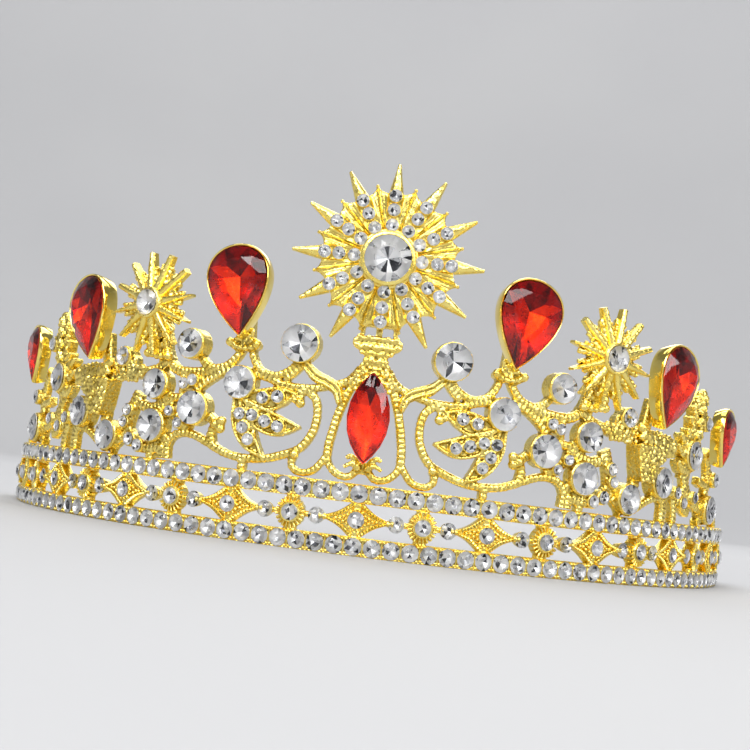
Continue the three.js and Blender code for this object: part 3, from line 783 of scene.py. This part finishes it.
# Strips by panel: points, width
STRIPS = {
    "center_crest": [
        ([(2.6, 32.6), (4.2, 30.4), (6.2, 29.2), (8.2, 29.1), (10.3, 30), (12.6, 31.9)], 1.3),
        ([(3.4, 30), (4.4, 27.8), (5.3, 25.2), (5.9, 23), (6.4, 20.6), (6.8, 18), (6.9, 15.6)], 1.4),
        ([(6.9, 16), (6.4, 14.4), (5.2, 13.1), (3.8, 12.5), (2.3, 12.6), (1.3, 13.6), (1, 15)], 1.1),
    ],
    "scroll_panel": [
        ([(6.9, 16), (8, 14.2), (9.2, 12.9), (10.6, 12.3), (12.1, 12.3),
          (13.2, 13), (13.5, 14), (12.9, 15.4)], 1.1),
        ([(6.6, 29), (10.2, 28.1), (12.7, 27.8), (15.2, 27.8), (17.6, 28.1),
          (19.8, 28.8), (22.4, 29.4)], 1.2),
        ([(13.4, 32.2), (15, 30.4), (16.6, 29)], 1.1),
        ([(14.6, 32.2), (16.2, 30.6), (18.2, 29.6), (20.2, 29.6), (22, 30.4), (23.3, 32), (24, 34)], 1.2),
        ([(13.2, 25), (13.4, 26.6), (12.5, 27.2), (11.3, 26.8), (10.3, 25.8), (9.8, 24.3),
          (9.7, 22.5), (9.9, 20.7), (10.5, 19), (11.5, 17.4), (12.8, 16.2), (14.2, 15.5),
          (16, 14.8), (18.2, 14.1), (20.4, 13.7), (22.6, 13.6), (24.8, 13.7), (27, 14.1),
          (29, 14.8), (31, 15.6), (33, 16.4), (35, 16.9), (37, 16.9), (38.6, 16.4),
          (39.9, 15.2), (40.2, 13.6), (40, CREST_BOTTOM_V)], 1.3),
        ([(23.2, 13.9), (23.2, CREST_BOTTOM_V - 0.4)], 1.4),
        ([(26, 34.2), (26.9, 32.4), (28.6, 30.6), (30.8, 29.8), (32.8, 30), (34.4, 31.2), (35.4, 32.8)], 1.4),
        ([(26.4, 29.8), (29.6, 29), (32, 27.6), (34, 26), (35.6, 24.4)], 1.3),
        ([(31, 29.4), (34, 28.8), (37.4, 28.6), (40, 28.8), (42.4, 30.2)], 1.7),
        ([(33.4, 27.6), (35.6, 27.1), (37.8, 26.2)], 2.2),
        ([(38.2, 28.6), (38.3, 26), (38.2, 24)], 0.9),
        ([(30, 15.4), (30.4, 17.2), (29.8, 19), (28.6, 19.4)], 1.5),
        ([(29.6, 19.4), (31.4, 20.6)], 1.6),
    ],
    "stone_cluster": [
        ([(35.4, 17.4), (37.4, 18.6), (39.4, 20.2), (40.8, 22), (41.6, 24)], 2),
        ([(37.4, 23.6), (40, 23.4), (42, 23)], 1.5),
        ([(39.6, 15.4), (41.4, 15.6), (42.4, 16.4)], 1.6),
        ([(41.6, 22.6), (43, 21.6), (46, 21), (48.6, 21.6)], 1.9),
        ([(41.2, CREST_BOTTOM_V), (41.6, 13.4), (44.4, 13.4), (46.7, 13.4), (49.2, 14.5), (50.8, 16)], 2),
        ([(44.4, 13), (44.2, CREST_BOTTOM_V - 0.4)], 1.4),
        ([(42.2, 29.2), (43.6, 31.4), (44.4, 34), (45, 37), (45.6, 41)], 3.4),
        ([(44, 29), (47, 28.2), (50, 27.4), (53, 27.2), (57, 27)], 1.7),
        ([(49.2, 23.8), (50, 22), (50.7, 20.2), (51.3, 17.8), (51.2, 15.6)], 2.4),
        ([(50.8, 15.6), (52.4, 14.6), (54, 13.4)], 1.3),
    ],
    "vase_panel": [
        ([(54.4, CREST_BOTTOM_V), (56, 12.6), (58.6, 12.4)], 1.2),
        ([(57.4, 12.2), (60, 13.4), (62.6, 14.8), (65.6, 15.8), (68.4, 16.2), (70, 17)], 1.3),
        ([(58.6, 17), (58.8, 19.6)], 2.2),
        ([(67, 16.4), (69, 15), (69.2, CREST_BOTTOM_V - 0.4)], 2),
    ],
    "leaf_column": [
        ([(68.4, 18), (70.6, 17.6), (72.6, 17.4), (75.7, 15.6), (78.4, 14.4), (80.6, 13.8)], 1.9),
        ([(72.8, 16.6), (73.6, 14), (74, CREST_BOTTOM_V - 0.4)], 1.6),
        ([(76.6, 22), (78.6, 18.6), (81, 16.6), (84, 15.6), (87, 15)], 2.2),
        ([(75.4, 16), (77.2, 18.2), (78.2, 20.6)], 1.5),
    ],
    "end_scroll": [
        ([(86, CREST_BOTTOM_V), (88, 12.6), (91, 12.4)], 1.4),
        ([(89.6, 16), (91, 19), (91.6, 22), (90.4, 25), (88.4, 27.4)], 2),
        ([(91, 14.4), (94.6, 15.2), (97.6, 15), (100.2, 13.8), (102.4, CREST_BOTTOM_V)], 1.3),
        ([(84.4, 20.8), (87.6, 20.2), (91, 20.6)], 1.5),
    ],
}

# Outlines of leaves, of the inner pear's foot, of the bud's cup and of the vase
LEAF_SPRAY = [
    [(14, 26.4), (16, 24.4), (18.6, 23.1), (21.4, 23.1), (24, 24.2), (22.6, 25.8), (20, 26.7), (17, 27.1)],
    [(12.6, 20.4), (15.6, 18.8), (18.2, 18.5), (21.2, 19.6),
     (24.4, 22.6), (24.6, 24.4), (21.6, 23.6), (17.4, 22.2)],
    [(19.2, 14.2), (22.6, 15.5), (24.9, 17.9), (26, 21), (25.9, 25), (24, 24.6), (22.2, 20.6), (20.6, 17)],
]
CAPITAL = [
    (22.4, 34.2), (23.6, 33.4), (27.4, 33.4), (28.7, 34.2), (28.7, 35.2), (27.6, 35.8), (26.9, 36), (27, 40),
    (24.2, 40), (23.8, 36), (22.8, 35.6), (22.3, 34.9),
]
BUD_CUP = [(50, 27), (56, 26.6), (56.6, 29.6), (55.4, 32.2), (53, 32.4), (50.6, 30.4)]
# Granulated areas on the bud's arm and on the small sun's stem
BUD_ARM = [(44.6, 27.4), (52, 25.6), (57.4, 25.6), (57.4, 28), (51, 28.8), (45.4, 29.4)]
SUN_STEM = [(41.4, 30.6), (46.8, 30.6), (47.2, 32.6), (46.4, 37), (44, 37), (42, 32.6)]
VASE = [(57.8, 18.6), (62, 18.6), (62.7, 21.4), (65, 25.8), (56, 25.8), (57, 21)]
VASE_FRONT = 2.2
GARLAND = [(57.4, 28.4), (59, 27.4), (61.4, 26.9), (64.4, 26.8), (67.6, 26.2)]

SEAT_RIM = 0.35
STONE_OVERHANG = 0.15
# Melting takes this much off the width of a domed strip
MELT_LOSS = 0.35


def disc(u, v, radius, high, sides=32):
    """A round block from the wall's back up to high."""
    return moved(lathe([(0.1, WALL_BACK), (radius, WALL_BACK), (radius, high), (0.1, high)], sides), u, v)


def add_seat(shells, u, v, radius, rise):
    """A raised seat with a thin proud collar."""
    outer = radius + SEAT_RIM
    shells.add(disc(u, v, outer - 0.1, rise - 1.1))
    shells.add(moved(hoop(radius - 0.35, outer, WALL_BACK, rise + 0.3, 32), u, v))


def add_small_seats(shells, places):
    """Thin cups with a raised floor, for places of (u, v, radius, girdle's distance out)."""
    for u, v, radius, out in places:
        shells.add(moved(hoop(radius - 0.2, radius + 0.2, WALL_BACK, out - 0.15, 18), u, v))
        shells.add(disc(u, v, radius, out - 0.95, 18))


def add_beads(shells, spots, out, radius, flat=1.0):
    for u, v in spots:
        shells.add(bead(u, v, out, radius, flat))


def inside(outline, u, v):
    """Whether (u, v) is within the outline, by counting the edges on one side of it."""
    crossings = 0
    for (u1, v1), (u2, v2) in zip(outline, [*outline[1:], outline[0]]):
        if (v1 > v) != (v2 > v) and u < u1 + (v - v1) * (u2 - u1) / (v2 - v1):
            crossings += 1
    return crossings % 2 == 1


def add_nubs(shells, outline, spacing, radius, out):
    """Uneven grains strewn over an outline."""
    low = np.min(outline, axis=0)
    high = np.max(outline, axis=0)
    for row, v in enumerate(np.arange(low[1] + spacing / 2, high[1], spacing * 0.87)):
        for u in np.arange(low[0] + spacing / 2 * (row % 2), high[0], spacing):
            spot = np.array((u, v)) + random.uniform(-0.22, 0.22, 2) * spacing
            if inside(outline, *spot):
                size = radius * random.uniform(0.75, 1.2)
                shells.add(bead(*spot, out + random.uniform(-0.12, 0.12), size, 0.9))


def panel_shells(name):
    """A panel's strips and stone seats."""
    shells = Shells()
    for points, width in STRIPS[name]:
        shells.add(ribbon(points, width + MELT_LOSS, rib_pitch=0.95, rib_depth=0.32, dome=0.7))
    for _, panel, u, v, radius, rise in ROUND_STONES:
        if panel == name:
            add_seat(shells, u, v, radius, rise)
    add_small_seats(shells, SMALL_STONES.get(name, []))
    return shells


def scroll_panel():
    """The open scrolls round the leaf spray, with the inner pear's foot above them."""
    shells = panel_shells("scroll_panel")
    for leaf in LEAF_SPRAY:
        shells.add(prism(leaf, WALL_BACK, -0.3))
        shells.add(ribbon([*leaf, leaf[0]], 0.6, high=0.35, rib_pitch=0.7, rib_depth=0.2, dome=0.4))
    shells.add(prism(CAPITAL, WALL_BACK, 0))
    add_nubs(shells, CAPITAL, 0.95, 0.5, 0.1)
    add_beads(shells, smooth_path([(22.8, 34.4), (25.5, 33.9), (28.2, 34.6)], 1)[0], 0.2, 0.66)
    add_beads(shells, [(22.8, 34.9), (28.3, 34.9)], 0.2, 0.95)
    add_beads(shells, [(28, 19.9), (28.1, 18.5), (29.2, 19.2)], 0.1, 1.05)
    shells.add(bead(13.1, 24.9, -0.4, 1.05))
    shells.add(bead(14.2, 25.3, -0.3, 0.65))
    shells.add(bead(13, 15.4, -0.4, 0.95))
    return shells


def stone_cluster():
    """The granulated stem of the small sun and the arm that ends in a bud."""
    shells = panel_shells("stone_cluster")
    shells.add(prism(BUD_CUP, WALL_BACK, 0))
    add_nubs(shells, BUD_CUP, 1.0, 0.5, 0.1)
    add_nubs(shells, BUD_ARM, 1.0, 0.62, 0.15)
    add_nubs(shells, SUN_STEM, 1.15, 0.75, 0.3)
    add_beads(shells, [(41.8, 31.2), (47.2, 31.6), (46.8, 33.2)], 0.2, 1)
    return shells


def vase_panel():
    """A nubby vase with a leafy garland over its mouth and a stem that rises behind the pear."""
    shells = panel_shells("vase_panel")
    shells.add(prism(VASE, WALL_BACK, VASE_FRONT - 0.45))
    add_nubs(shells, VASE, 1.05, 0.58, VASE_FRONT - 0.4)
    shells.add(ribbon(GARLAND, 2.6, high=1.0))
    shells.add(ribbon([(58.6, 27), (60, 29), (60.8, 31.6), (61.6, 35)], 3, high=0))
    for lift, radius, out in ((-1.3, 0.7, 1.2), (-0.3, 0.95, 1.25), (0.7, 0.85, 1.1), (1.5, 0.65, 0.7)):
        path, _ = smooth_path([(u, v + lift) for u, v in GARLAND], 1.25)
        for u, v in path + random.uniform(-0.3, 0.3, path.shape):
            shells.add(bead(u, v, out, radius * random.uniform(0.8, 1.15), 0.8))
    add_beads(shells, [(66.6, 25), (67.9, 26.4), (57.2, 29.2)], 0.8, 1.1, 0.8)
    return shells


# Height and half-width of the plume's tiers above the stone
PLUME_TIERS = [(30, 3.6), (32.6, 3.1), (35, 2.5), (37.1, 1.8)]


def leaf_blade(shells, u, v, side, reach, climb, width, high):
    """A small leaf that points out to the side and up."""
    path = [(u, v), (u + side * reach * 0.6, v + climb * 0.25), (u + side * reach, v + climb)]
    widths = [width * 0.8, width, width * 0.35]
    shells.add(ribbon(path, widths, high=high, rib_pitch=0.85, rib_depth=0.25, dome=0.8))


def leaf_column():
    """A plume of leaves that rises behind its lower stone, with a granulated middle."""
    shells = panel_shells("leaf_column")
    shells.add(prism([(75, 20.6), (79.6, 20.6), (80.4, 30), (76.4, 30)], WALL_BACK, -0.5))
    for v, side, reach in [(22.4, -1, 5.0), (25.6, -1, 5.4), (28.0, -1, 4.6), (23.2, 1, 4.4), (27, 1, 4.2)]:
        leaf_blade(shells, 77.2, v, side, reach, 1.6, 2.5, 0.6)
    for v, half in PLUME_TIERS:
        middle = 77.6 + (v - 22) * 0.16
        shells.add(bead(middle, v, -0.9, half * 0.62, 0.9, 12, 7))
        for side in (-1, 1):
            leaf_blade(shells, middle, v - 0.6, side, half, 1.5, 2.1, 0.5)
            leaf_blade(shells, middle, v + 0.4, side, half * 0.62, 1.7, 1.7, 0.8)
        for across, lift, size in [(0, 0.6, 0.85), (-0.85, -0.3, 0.6), (0.85, -0.3, 0.6), (0, -0.9, 0.55)]:
            shells.add(bead(middle + across, v + lift, 0.9, size))
    shells.add(bead(80.3, 38.6, 0, 1.25, 0.9))
    return shells


def center_crest():
    """The neck under the sun, its arms and the barbs under the marquise, whole across the middle."""
    half = panel_shells("center_crest")
    half.add(prism(BOW, WALL_BACK, 0))
    for bar in NECK_BARS:
        half.add(prism(bar, WALL_BACK, 0))
    add_nubs(half, BOW, 0.85, 0.45, 0.05)
    for line, width, high, rib_depth in BOW_LINES:
        half.add(ribbon(line, width, high=high, rib_pitch=0.75, rib_depth=rib_depth, dome=0.4))
    half.add(ribbon(WAVE, [1.6, 2.3, 2.3, 1.7], high=0.1, rib_depth=0, dome=0.5))
    for offset in (-0.55, 0.55):
        line = [(u - offset * 0.5, v + offset * 0.85) for u, v in WAVE]
        half.add(ribbon(line, 0.5, low=-1, high=0.45, rib_depth=0, dome=0.3))
    for line, widths, high in BARBS:
        half.add(ribbon(line, widths, high=high, rib_pitch=0.7, dome=0.4))
    points, faces = half.joined()
    whole = Shells((points, faces))
    whole.add((other_side(points), faces))
    whole.add(prism([(-1.2, 13.2), (1.2, 13.2), (1.2, 15.4), (-1.2, 15.4)], WALL_BACK, -0.6))
    return whole


gold_piece("center_crest", Shells(melt(center_crest()), bend), 70)

PANELS = {
    "scroll_panel": scroll_panel,
    "stone_cluster": stone_cluster,
    "vase_panel": vase_panel,
    "leaf_column": leaf_column,
    "end_scroll": lambda: panel_shells("end_scroll"),
}
for panel, draw in PANELS.items():
    points, faces = melt(draw())
    for side_name, side in SIDES:
        name = f"{side_name}_{panel}"
        gold_piece(name, Shells((points if side > 0 else other_side(points), faces), bend), 70)
        if panel in SMALL_STONES:
            places = [(side * u, v, radius, out) for u, v, radius, out in SMALL_STONES[panel]]
            add_small_stones(f"{name}_stones", places)

for stone, _, u, v, radius, rise in ROUND_STONES:
    for side_name, side in SIDES:
        pavilion = min(0.42 * radius, rise + 0.8)
        cut = cut_stone(round_outline(radius + STONE_OVERHANG), 0.3 * radius, pavilion, 11, 0.5)
        cut = spun(raised(cut, rise + 0.5), random.uniform(0, math.pi))
        name = f"{side_name}_{stone}_stone"
        clear_piece(name, Shells(cut, lambda p: stand(p, side * u, v)), [name])


# ---- Large sun ----
SUN_FLOOR = 0.3
SUN_FACE = 1.5
SUN_ROWS = 12
SUN_STONE_RADII = (6.25, 9.1, 11.75)
SUN_STONE = 1.22
SUN_STONE_OUT = 2.32
SUN_DISC_INNER = 4.3
SUN_HUB = 0.3
RAY_START = 12.3
RAY_TIP = 17.85
FAN_TIP = 13.75


def sun_edge(off_tip):
    """The fan's edge radius by the angle in degrees from the nearest fan tip."""
    return np.interp(off_tip, [0, 0.7, 2.4, 6, 10, 15], [13.9, 13.7, 12.9, 12.4, 12.2, 12.6])


def sun_disc():
    """Pleated fans between rows of stone seats, as one closed disc with a pleated front."""
    columns = 360
    rings = 22
    angles = np.arange(columns) / columns * 2 * math.pi
    off_row = np.abs((np.degrees(angles) + 15) % 30 - 15)
    edge = sun_edge(15 - off_row)

    def ring_at(radius, height):
        height = np.broadcast_to(height, columns)
        return np.column_stack([radius * np.cos(angles), radius * np.sin(angles), height])

    front = []
    for share in np.linspace(0, 1, rings):
        radius = SUN_DISC_INNER + (edge - SUN_DISC_INNER) * share
        across = radius * np.sin(np.radians(off_row))
        in_fan = np.clip((across - 1.1) / 0.3, 0, 1)
        ridges = 0.36 * np.exp(-(((off_row - 8) / 1.8) ** 2))
        ridges += 0.16 * np.exp(-(((off_row - 11.6) / 1.1) ** 2))
        grains = np.where(off_row > 10, random.uniform(-0.06, 0.06, columns), 0) * (share < 1)
        tip_rib = 0.4 * np.exp(-(((off_row - 15) / 0.9) ** 2))
        slope = 0.25 * (1 - share)
        height = SUN_FACE + slope + in_fan * (ridges + grains + tip_rib) - 0.25 * (share == 1)
        front.append(ring_at(radius, height))
    middle = [ring_at(SUN_HUB, SUN_FLOOR + 0.2), ring_at(SUN_DISC_INNER, SUN_FLOOR + 0.3)]
    back = [ring_at(edge, SUN_FLOOR), ring_at(SUN_HUB, SUN_FLOOR)]
    return tube(middle + front + back)


def spike(inner, outer, base_width, tip_width, low, high, angle):
    """A tapered ray with a domed, hammered front."""
    path = [(inner, 0), ((inner + outer) / 2, 0), (outer, 0)]
    points, faces = ribbon(path, [base_width, tip_width], low, high, 1.3, 0.14, 0.95, 0.42)
    front = points[:, 2] > low + 0.01
    fade = np.clip((points[:, 0] - inner) / (outer - inner), 0, 1) * (high - low) * 0.35
    hammering = random.uniform(-0.1, 0.1, len(points))
    points[:, 2] = np.where(front, points[:, 2] - fade + hammering, points[:, 2])
    return spun((points, faces), angle)


def large_sun():
    """The disc, its twelve rows of three stones and eleven rays: the neck takes the twelfth's place."""
    place = lambda p: stand(p, 0, SUN_V)
    shells = Shells(sun_disc(), place)
    stones = Shells()
    cup = hoop(1.05, 1.32, SUN_FACE - 0.2, SUN_STONE_OUT - 0.2, 18)
    for row in range(SUN_ROWS):
        angle = math.radians(90 + 30 * row)
        for radius in SUN_STONE_RADII:
            spot = around(radius, angle)
            shells.add(moved(cup, *spot), place)
            stones.add(moved(small_stone(SUN_STONE, SUN_STONE_OUT), *spot), place)
        if row != SUN_ROWS // 2:
            shells.add(spike(RAY_START, RAY_TIP, 2.8, 0.62, SUN_FLOOR, SUN_FACE + 0.4, angle), place)
    for fan in range(SUN_ROWS):
        angle = math.radians(75 + 30 * fan)
        shells.add(bead(*around(FAN_TIP, angle), 1.2, 0.36), place)
    shells.add(hoop(4.25, 5.15, SUN_FLOOR + 0.2, 2.95, 72), place)
    shells.add(hoop(5.0, 5.55, SUN_FLOOR + 0.3, 2.15, 72), place)
    gold_piece("center_sun", shells, 50)
    clear_piece("center_sun_small_stones", stones)
    cut = raised(cut_stone(round_outline(4.4), 1.2, 2.0, 14, 0.55), 2.85)
    clear_piece("center_sun_stone", Shells(cut, place), ["center_sun_stone"])


large_sun()


# ---- Small suns ----
SMALL_SUN_TURN = 0.33
SMALL_SUN_RAYS = 12


def small_sun_base(first):
    """The rough middle of a small sun: a disc with uneven tongues between the rays."""
    shells = Shells()
    shells.add(lathe([(0.1, 0.8), (5.6, 0.8), (5.8, 1.6), (4.6, 2.3), (2.8, 2.6), (0.1, 2.6)], 40))
    for tongue in range(2 * SMALL_SUN_RAYS):
        angle = first + (tongue + 0.5) * math.pi / SMALL_SUN_RAYS
        reach = random.uniform(6.7, 7.9)
        width = random.uniform(1.2, 1.6)
        high = random.uniform(2.3, 2.8)
        blade = ribbon([(2.5, 0), (reach, 0)], [width, width * 0.6], 0.8, high, 1.1, 0.35, 0.8)
        shells.add(spun(blade, angle))
        shells.add(bead(*around(reach, angle), 1.7, random.uniform(0.4, 0.7)))
    return melt(shells, 0.3, 0.8)


def small_sun(side_name, side):
    """Blunt rays above and pointed ones below, round a raised collar that holds the stone."""
    first = SMALL_SUN_TURN if side > 0 else math.pi - SMALL_SUN_TURN
    place = lambda p: stand(p, side * SMALL_SUN_U, SMALL_SUN_V)
    stood = Shells(small_sun_base(first), place)
    for ray in range(SMALL_SUN_RAYS):
        angle = first + ray * 2 * math.pi / SMALL_SUN_RAYS
        upper = math.sin(angle) > 0.3
        widths = (1.7, 1.25) if upper else (1.9, 0.5)
        stood.add(spike(2.6, 10, *widths, 1.0, 3.6, angle), place)
    stood.add(hoop(2.3, 3.1, 1.0, 4.0, 40), place)
    gold_piece(f"{side_name}_sun", stood, 60)
    cut = spun(raised(cut_stone(round_outline(2.8), 0.85, 1.4, 8, 0.58), 4.0), 0.3)
    clear_piece(f"{side_name}_sun_stone", Shells(cut, place), [f"{side_name}_sun_stone"])


for side_name, side in SIDES:
    small_sun(side_name, side)


# ---- Red stones in their polished cups ----
def cup_shell(wider, depth, rim, sides=72):
    """A deep polished cup: (extra beyond the stone's outline, out) around its wall."""
    t = np.arange(sides) / sides * 2 * math.pi
    profile = [
        (rim - 0.62, 0.3), (rim - 0.42, 0.35), (rim - 0.3, 0.7), (rim, depth - 1.2), (rim, depth - 0.3),
        (rim - 0.06, depth - 0.08), (rim - 0.16, depth), (rim - 0.28, depth - 0.06),
        (rim - 0.42, depth - 0.5), (rim - 0.67, 0.9),
    ]
    rings = [np.column_stack([wider(extra)(t), np.full(sides, out)]) for extra, out in profile]
    return tube(rings)


def red_stone(name, outline, wider, place, depth, rim, keel, crown):
    """A red stone in its cup. wider(extra) is the stone's outline grown by extra."""
    cup = Shells(cup_shell(wider, depth, rim), place)
    gold_piece(f"{name}_cup", cup, 50, POLISHED_GOLD)
    # Painted shade: the two main facets under the top of each red stone are painted dark.
    shaded_top_mains = (RED_COUNT // 2 - 1, RED_COUNT // 2)
    cut = cut_stone(outline, crown, depth - 1.1, RED_COUNT, RED_TABLE, keel, 0, shaded_top_mains)
    name = f"{name}_stone"
    gem = Shells(raised(cut, depth - 0.05), place)
    piece(name, gem.mesh(name), RED_STONE, [name])


RED_COUNT = 10
RED_TABLE = 0.6
PEAR_RIM = 0.72
# Name, u, v, half-width, half-length, lean, how far the cup stands out
PEARS = [
    ("inner_pear", 26.4, 44.3, 5.7, 7.9, 0.17, 3.8),
    ("outer_pear", 63.2, 37.8, 5.7, 7.9, 0.3, 3.8),
    ("end_pear", 90, 30.4, 4, 5.6, 0.3, 3.2),
]
for pear, u, v, half_width, half_length, lean, depth in PEARS:
    for side_name, side in SIDES:
        red_stone(
            f"{side_name}_{pear}",
            teardrop(half_width + 0.3, half_length + 0.4),
            lambda extra: teardrop(half_width + extra, half_length + extra * 1.3),
            lambda p: stand(p, side * u, v, side * lean),
            depth, PEAR_RIM, (0, half_length * 0.34), half_width * 0.22,
        )

MARQUISE_RIM = 0.28
MARQUISE_DEPTH = 2.4
red_stone(
    "marquise",
    lens(3.95, 8.45),
    lambda extra: lens(3.55 + extra, 7.84 + extra * 1.6),
    lambda p: stand(p, 0, MARQUISE_V),
    MARQUISE_DEPTH, MARQUISE_RIM, (0, 2.2), 1.0,
)


# ---- Studio ----
# In metres: the flat floor's radius, the curve up to the cove's wall, and the wall's height
FLOOR_RADIUS = 0.9
COVE_CURVE = 0.4
COVE_HEIGHT = 1.1


def studio():
    """A round pale cove and a dim white surround."""
    profile = [(0.02, 0.0), (0.45, 0.0), (0.85, 0.0), (FLOOR_RADIUS, 0.0)]
    for turn in np.linspace(0.1, math.pi / 2, 12):
        profile.append((FLOOR_RADIUS + COVE_CURVE * math.sin(turn), COVE_CURVE - COVE_CURVE * math.cos(turn)))
    profile.append((FLOOR_RADIUS + COVE_CURVE, COVE_HEIGHT))
    sides = 96
    points = []
    for radius, height in profile:
        for step in range(sides):
            points.append((*around(radius, 2 * math.pi * step / sides), height))
    faces = [tuple(range(sides))]
    for level in range(len(profile) - 1):
        for step in range(sides):
            a = level * sides + step
            b = level * sides + (step + 1) % sides
            faces.append((b, a, a + sides, b + sides))
    mesh = bpy.data.meshes.new("cove")
    mesh.from_pydata(points, [], faces)
    mesh.polygons.foreach_set("use_smooth", [True] * len(faces))
    material, tree, shader = new_material("pale_paper", Roughness=0.9)
    paper = ramp(tree, noise(tree, 3.0), [(0.3, (0.41, 0.41, 0.42)), (0.7, (0.44, 0.44, 0.445))])
    tree.links.new(paper, shader.inputs["Base Color"])
    mesh.materials.append(material)
    cove = add_object("cove", mesh)

    world = bpy.data.worlds.new("studio")
    bpy.context.scene.world = world
    world.use_nodes = True
    set_inputs(world.node_tree.nodes["Background"], {"Color": (0.9, 0.95, 1.0, 1), "Strength": 0.22})


def area_light(name, position, target, size, power):
    light = bpy.data.lights.new(name, "AREA")
    light.shape = "RECTANGLE"
    light.size, light.size_y = size
    light.energy = power
    lamp = add_object(name, light)
    back = np.array(position, float) - np.array(target, float)
    lamp.location = position
    lamp.rotation_euler = Matrix(frame_from_back(back)).transposed().to_euler()


def frame_from_back(back):
    """Rows: right, up and back of something that looks along minus back."""
    back = back / np.linalg.norm(back)
    right = np.cross((0, 0, 1.0), back)
    right /= np.linalg.norm(right)
    return [right, np.cross(back, right), back]


# In millimetres from the front of the lower rail's middle, in radians, and the lens in millimetres
CAMERA_PLACE = (8.75, -266.0, 12.3)
CAMERA_AZIMUTH = 0.03222
CAMERA_ELEVATION = -0.07248
CAMERA_ROLL = 0.12421
CAMERA_LENS = 69.7


def camera():
    data = bpy.data.cameras.new("camera")
    data.lens = CAMERA_LENS
    data.sensor_width = 36
    data.clip_start = 0.01
    thing = add_object("camera", data)
    level = math.cos(CAMERA_ELEVATION)
    back = (math.sin(CAMERA_AZIMUTH) * level, -math.cos(CAMERA_AZIMUTH) * level, math.sin(CAMERA_ELEVATION))
    right, up, back = frame_from_back(back)
    rolled = right * math.cos(CAMERA_ROLL) + up * math.sin(CAMERA_ROLL)
    upright = up * math.cos(CAMERA_ROLL) - right * math.sin(CAMERA_ROLL)
    turn = Matrix([rolled, upright, back]).transposed().to_4x4()
    x, y, z = CAMERA_PLACE
    turn.translation = (x * MM, y * MM + wall_front, z * MM + row_height)
    thing.matrix_world = turn
    bpy.context.scene.camera = thing


studio()
TARGET = (0, -0.02, 0.03)
area_light("key", (-0.45, -0.75, 0.85), TARGET, (0.5, 0.5), 7.6)
area_light("front", (0.05, -0.85, 0.6), TARGET, (0.9, 0.4), 6.1)
area_light("fill", (0.75, -0.6, 0.45), TARGET, (0.35, 0.5), 3.8)
area_light("top", (0.05, 0.05, 0.95), TARGET, (0.7, 0.7), 3.6)
area_light("back", (0.2, 0.75, 0.6), TARGET, (0.5, 0.4), 2)
area_light("backdrop", (0, 0.45, 1.0), (0, 1.3, 0.2), (1.2, 0.4), 8)
camera()
bpy.context.scene.view_settings.view_transform = "Standard"
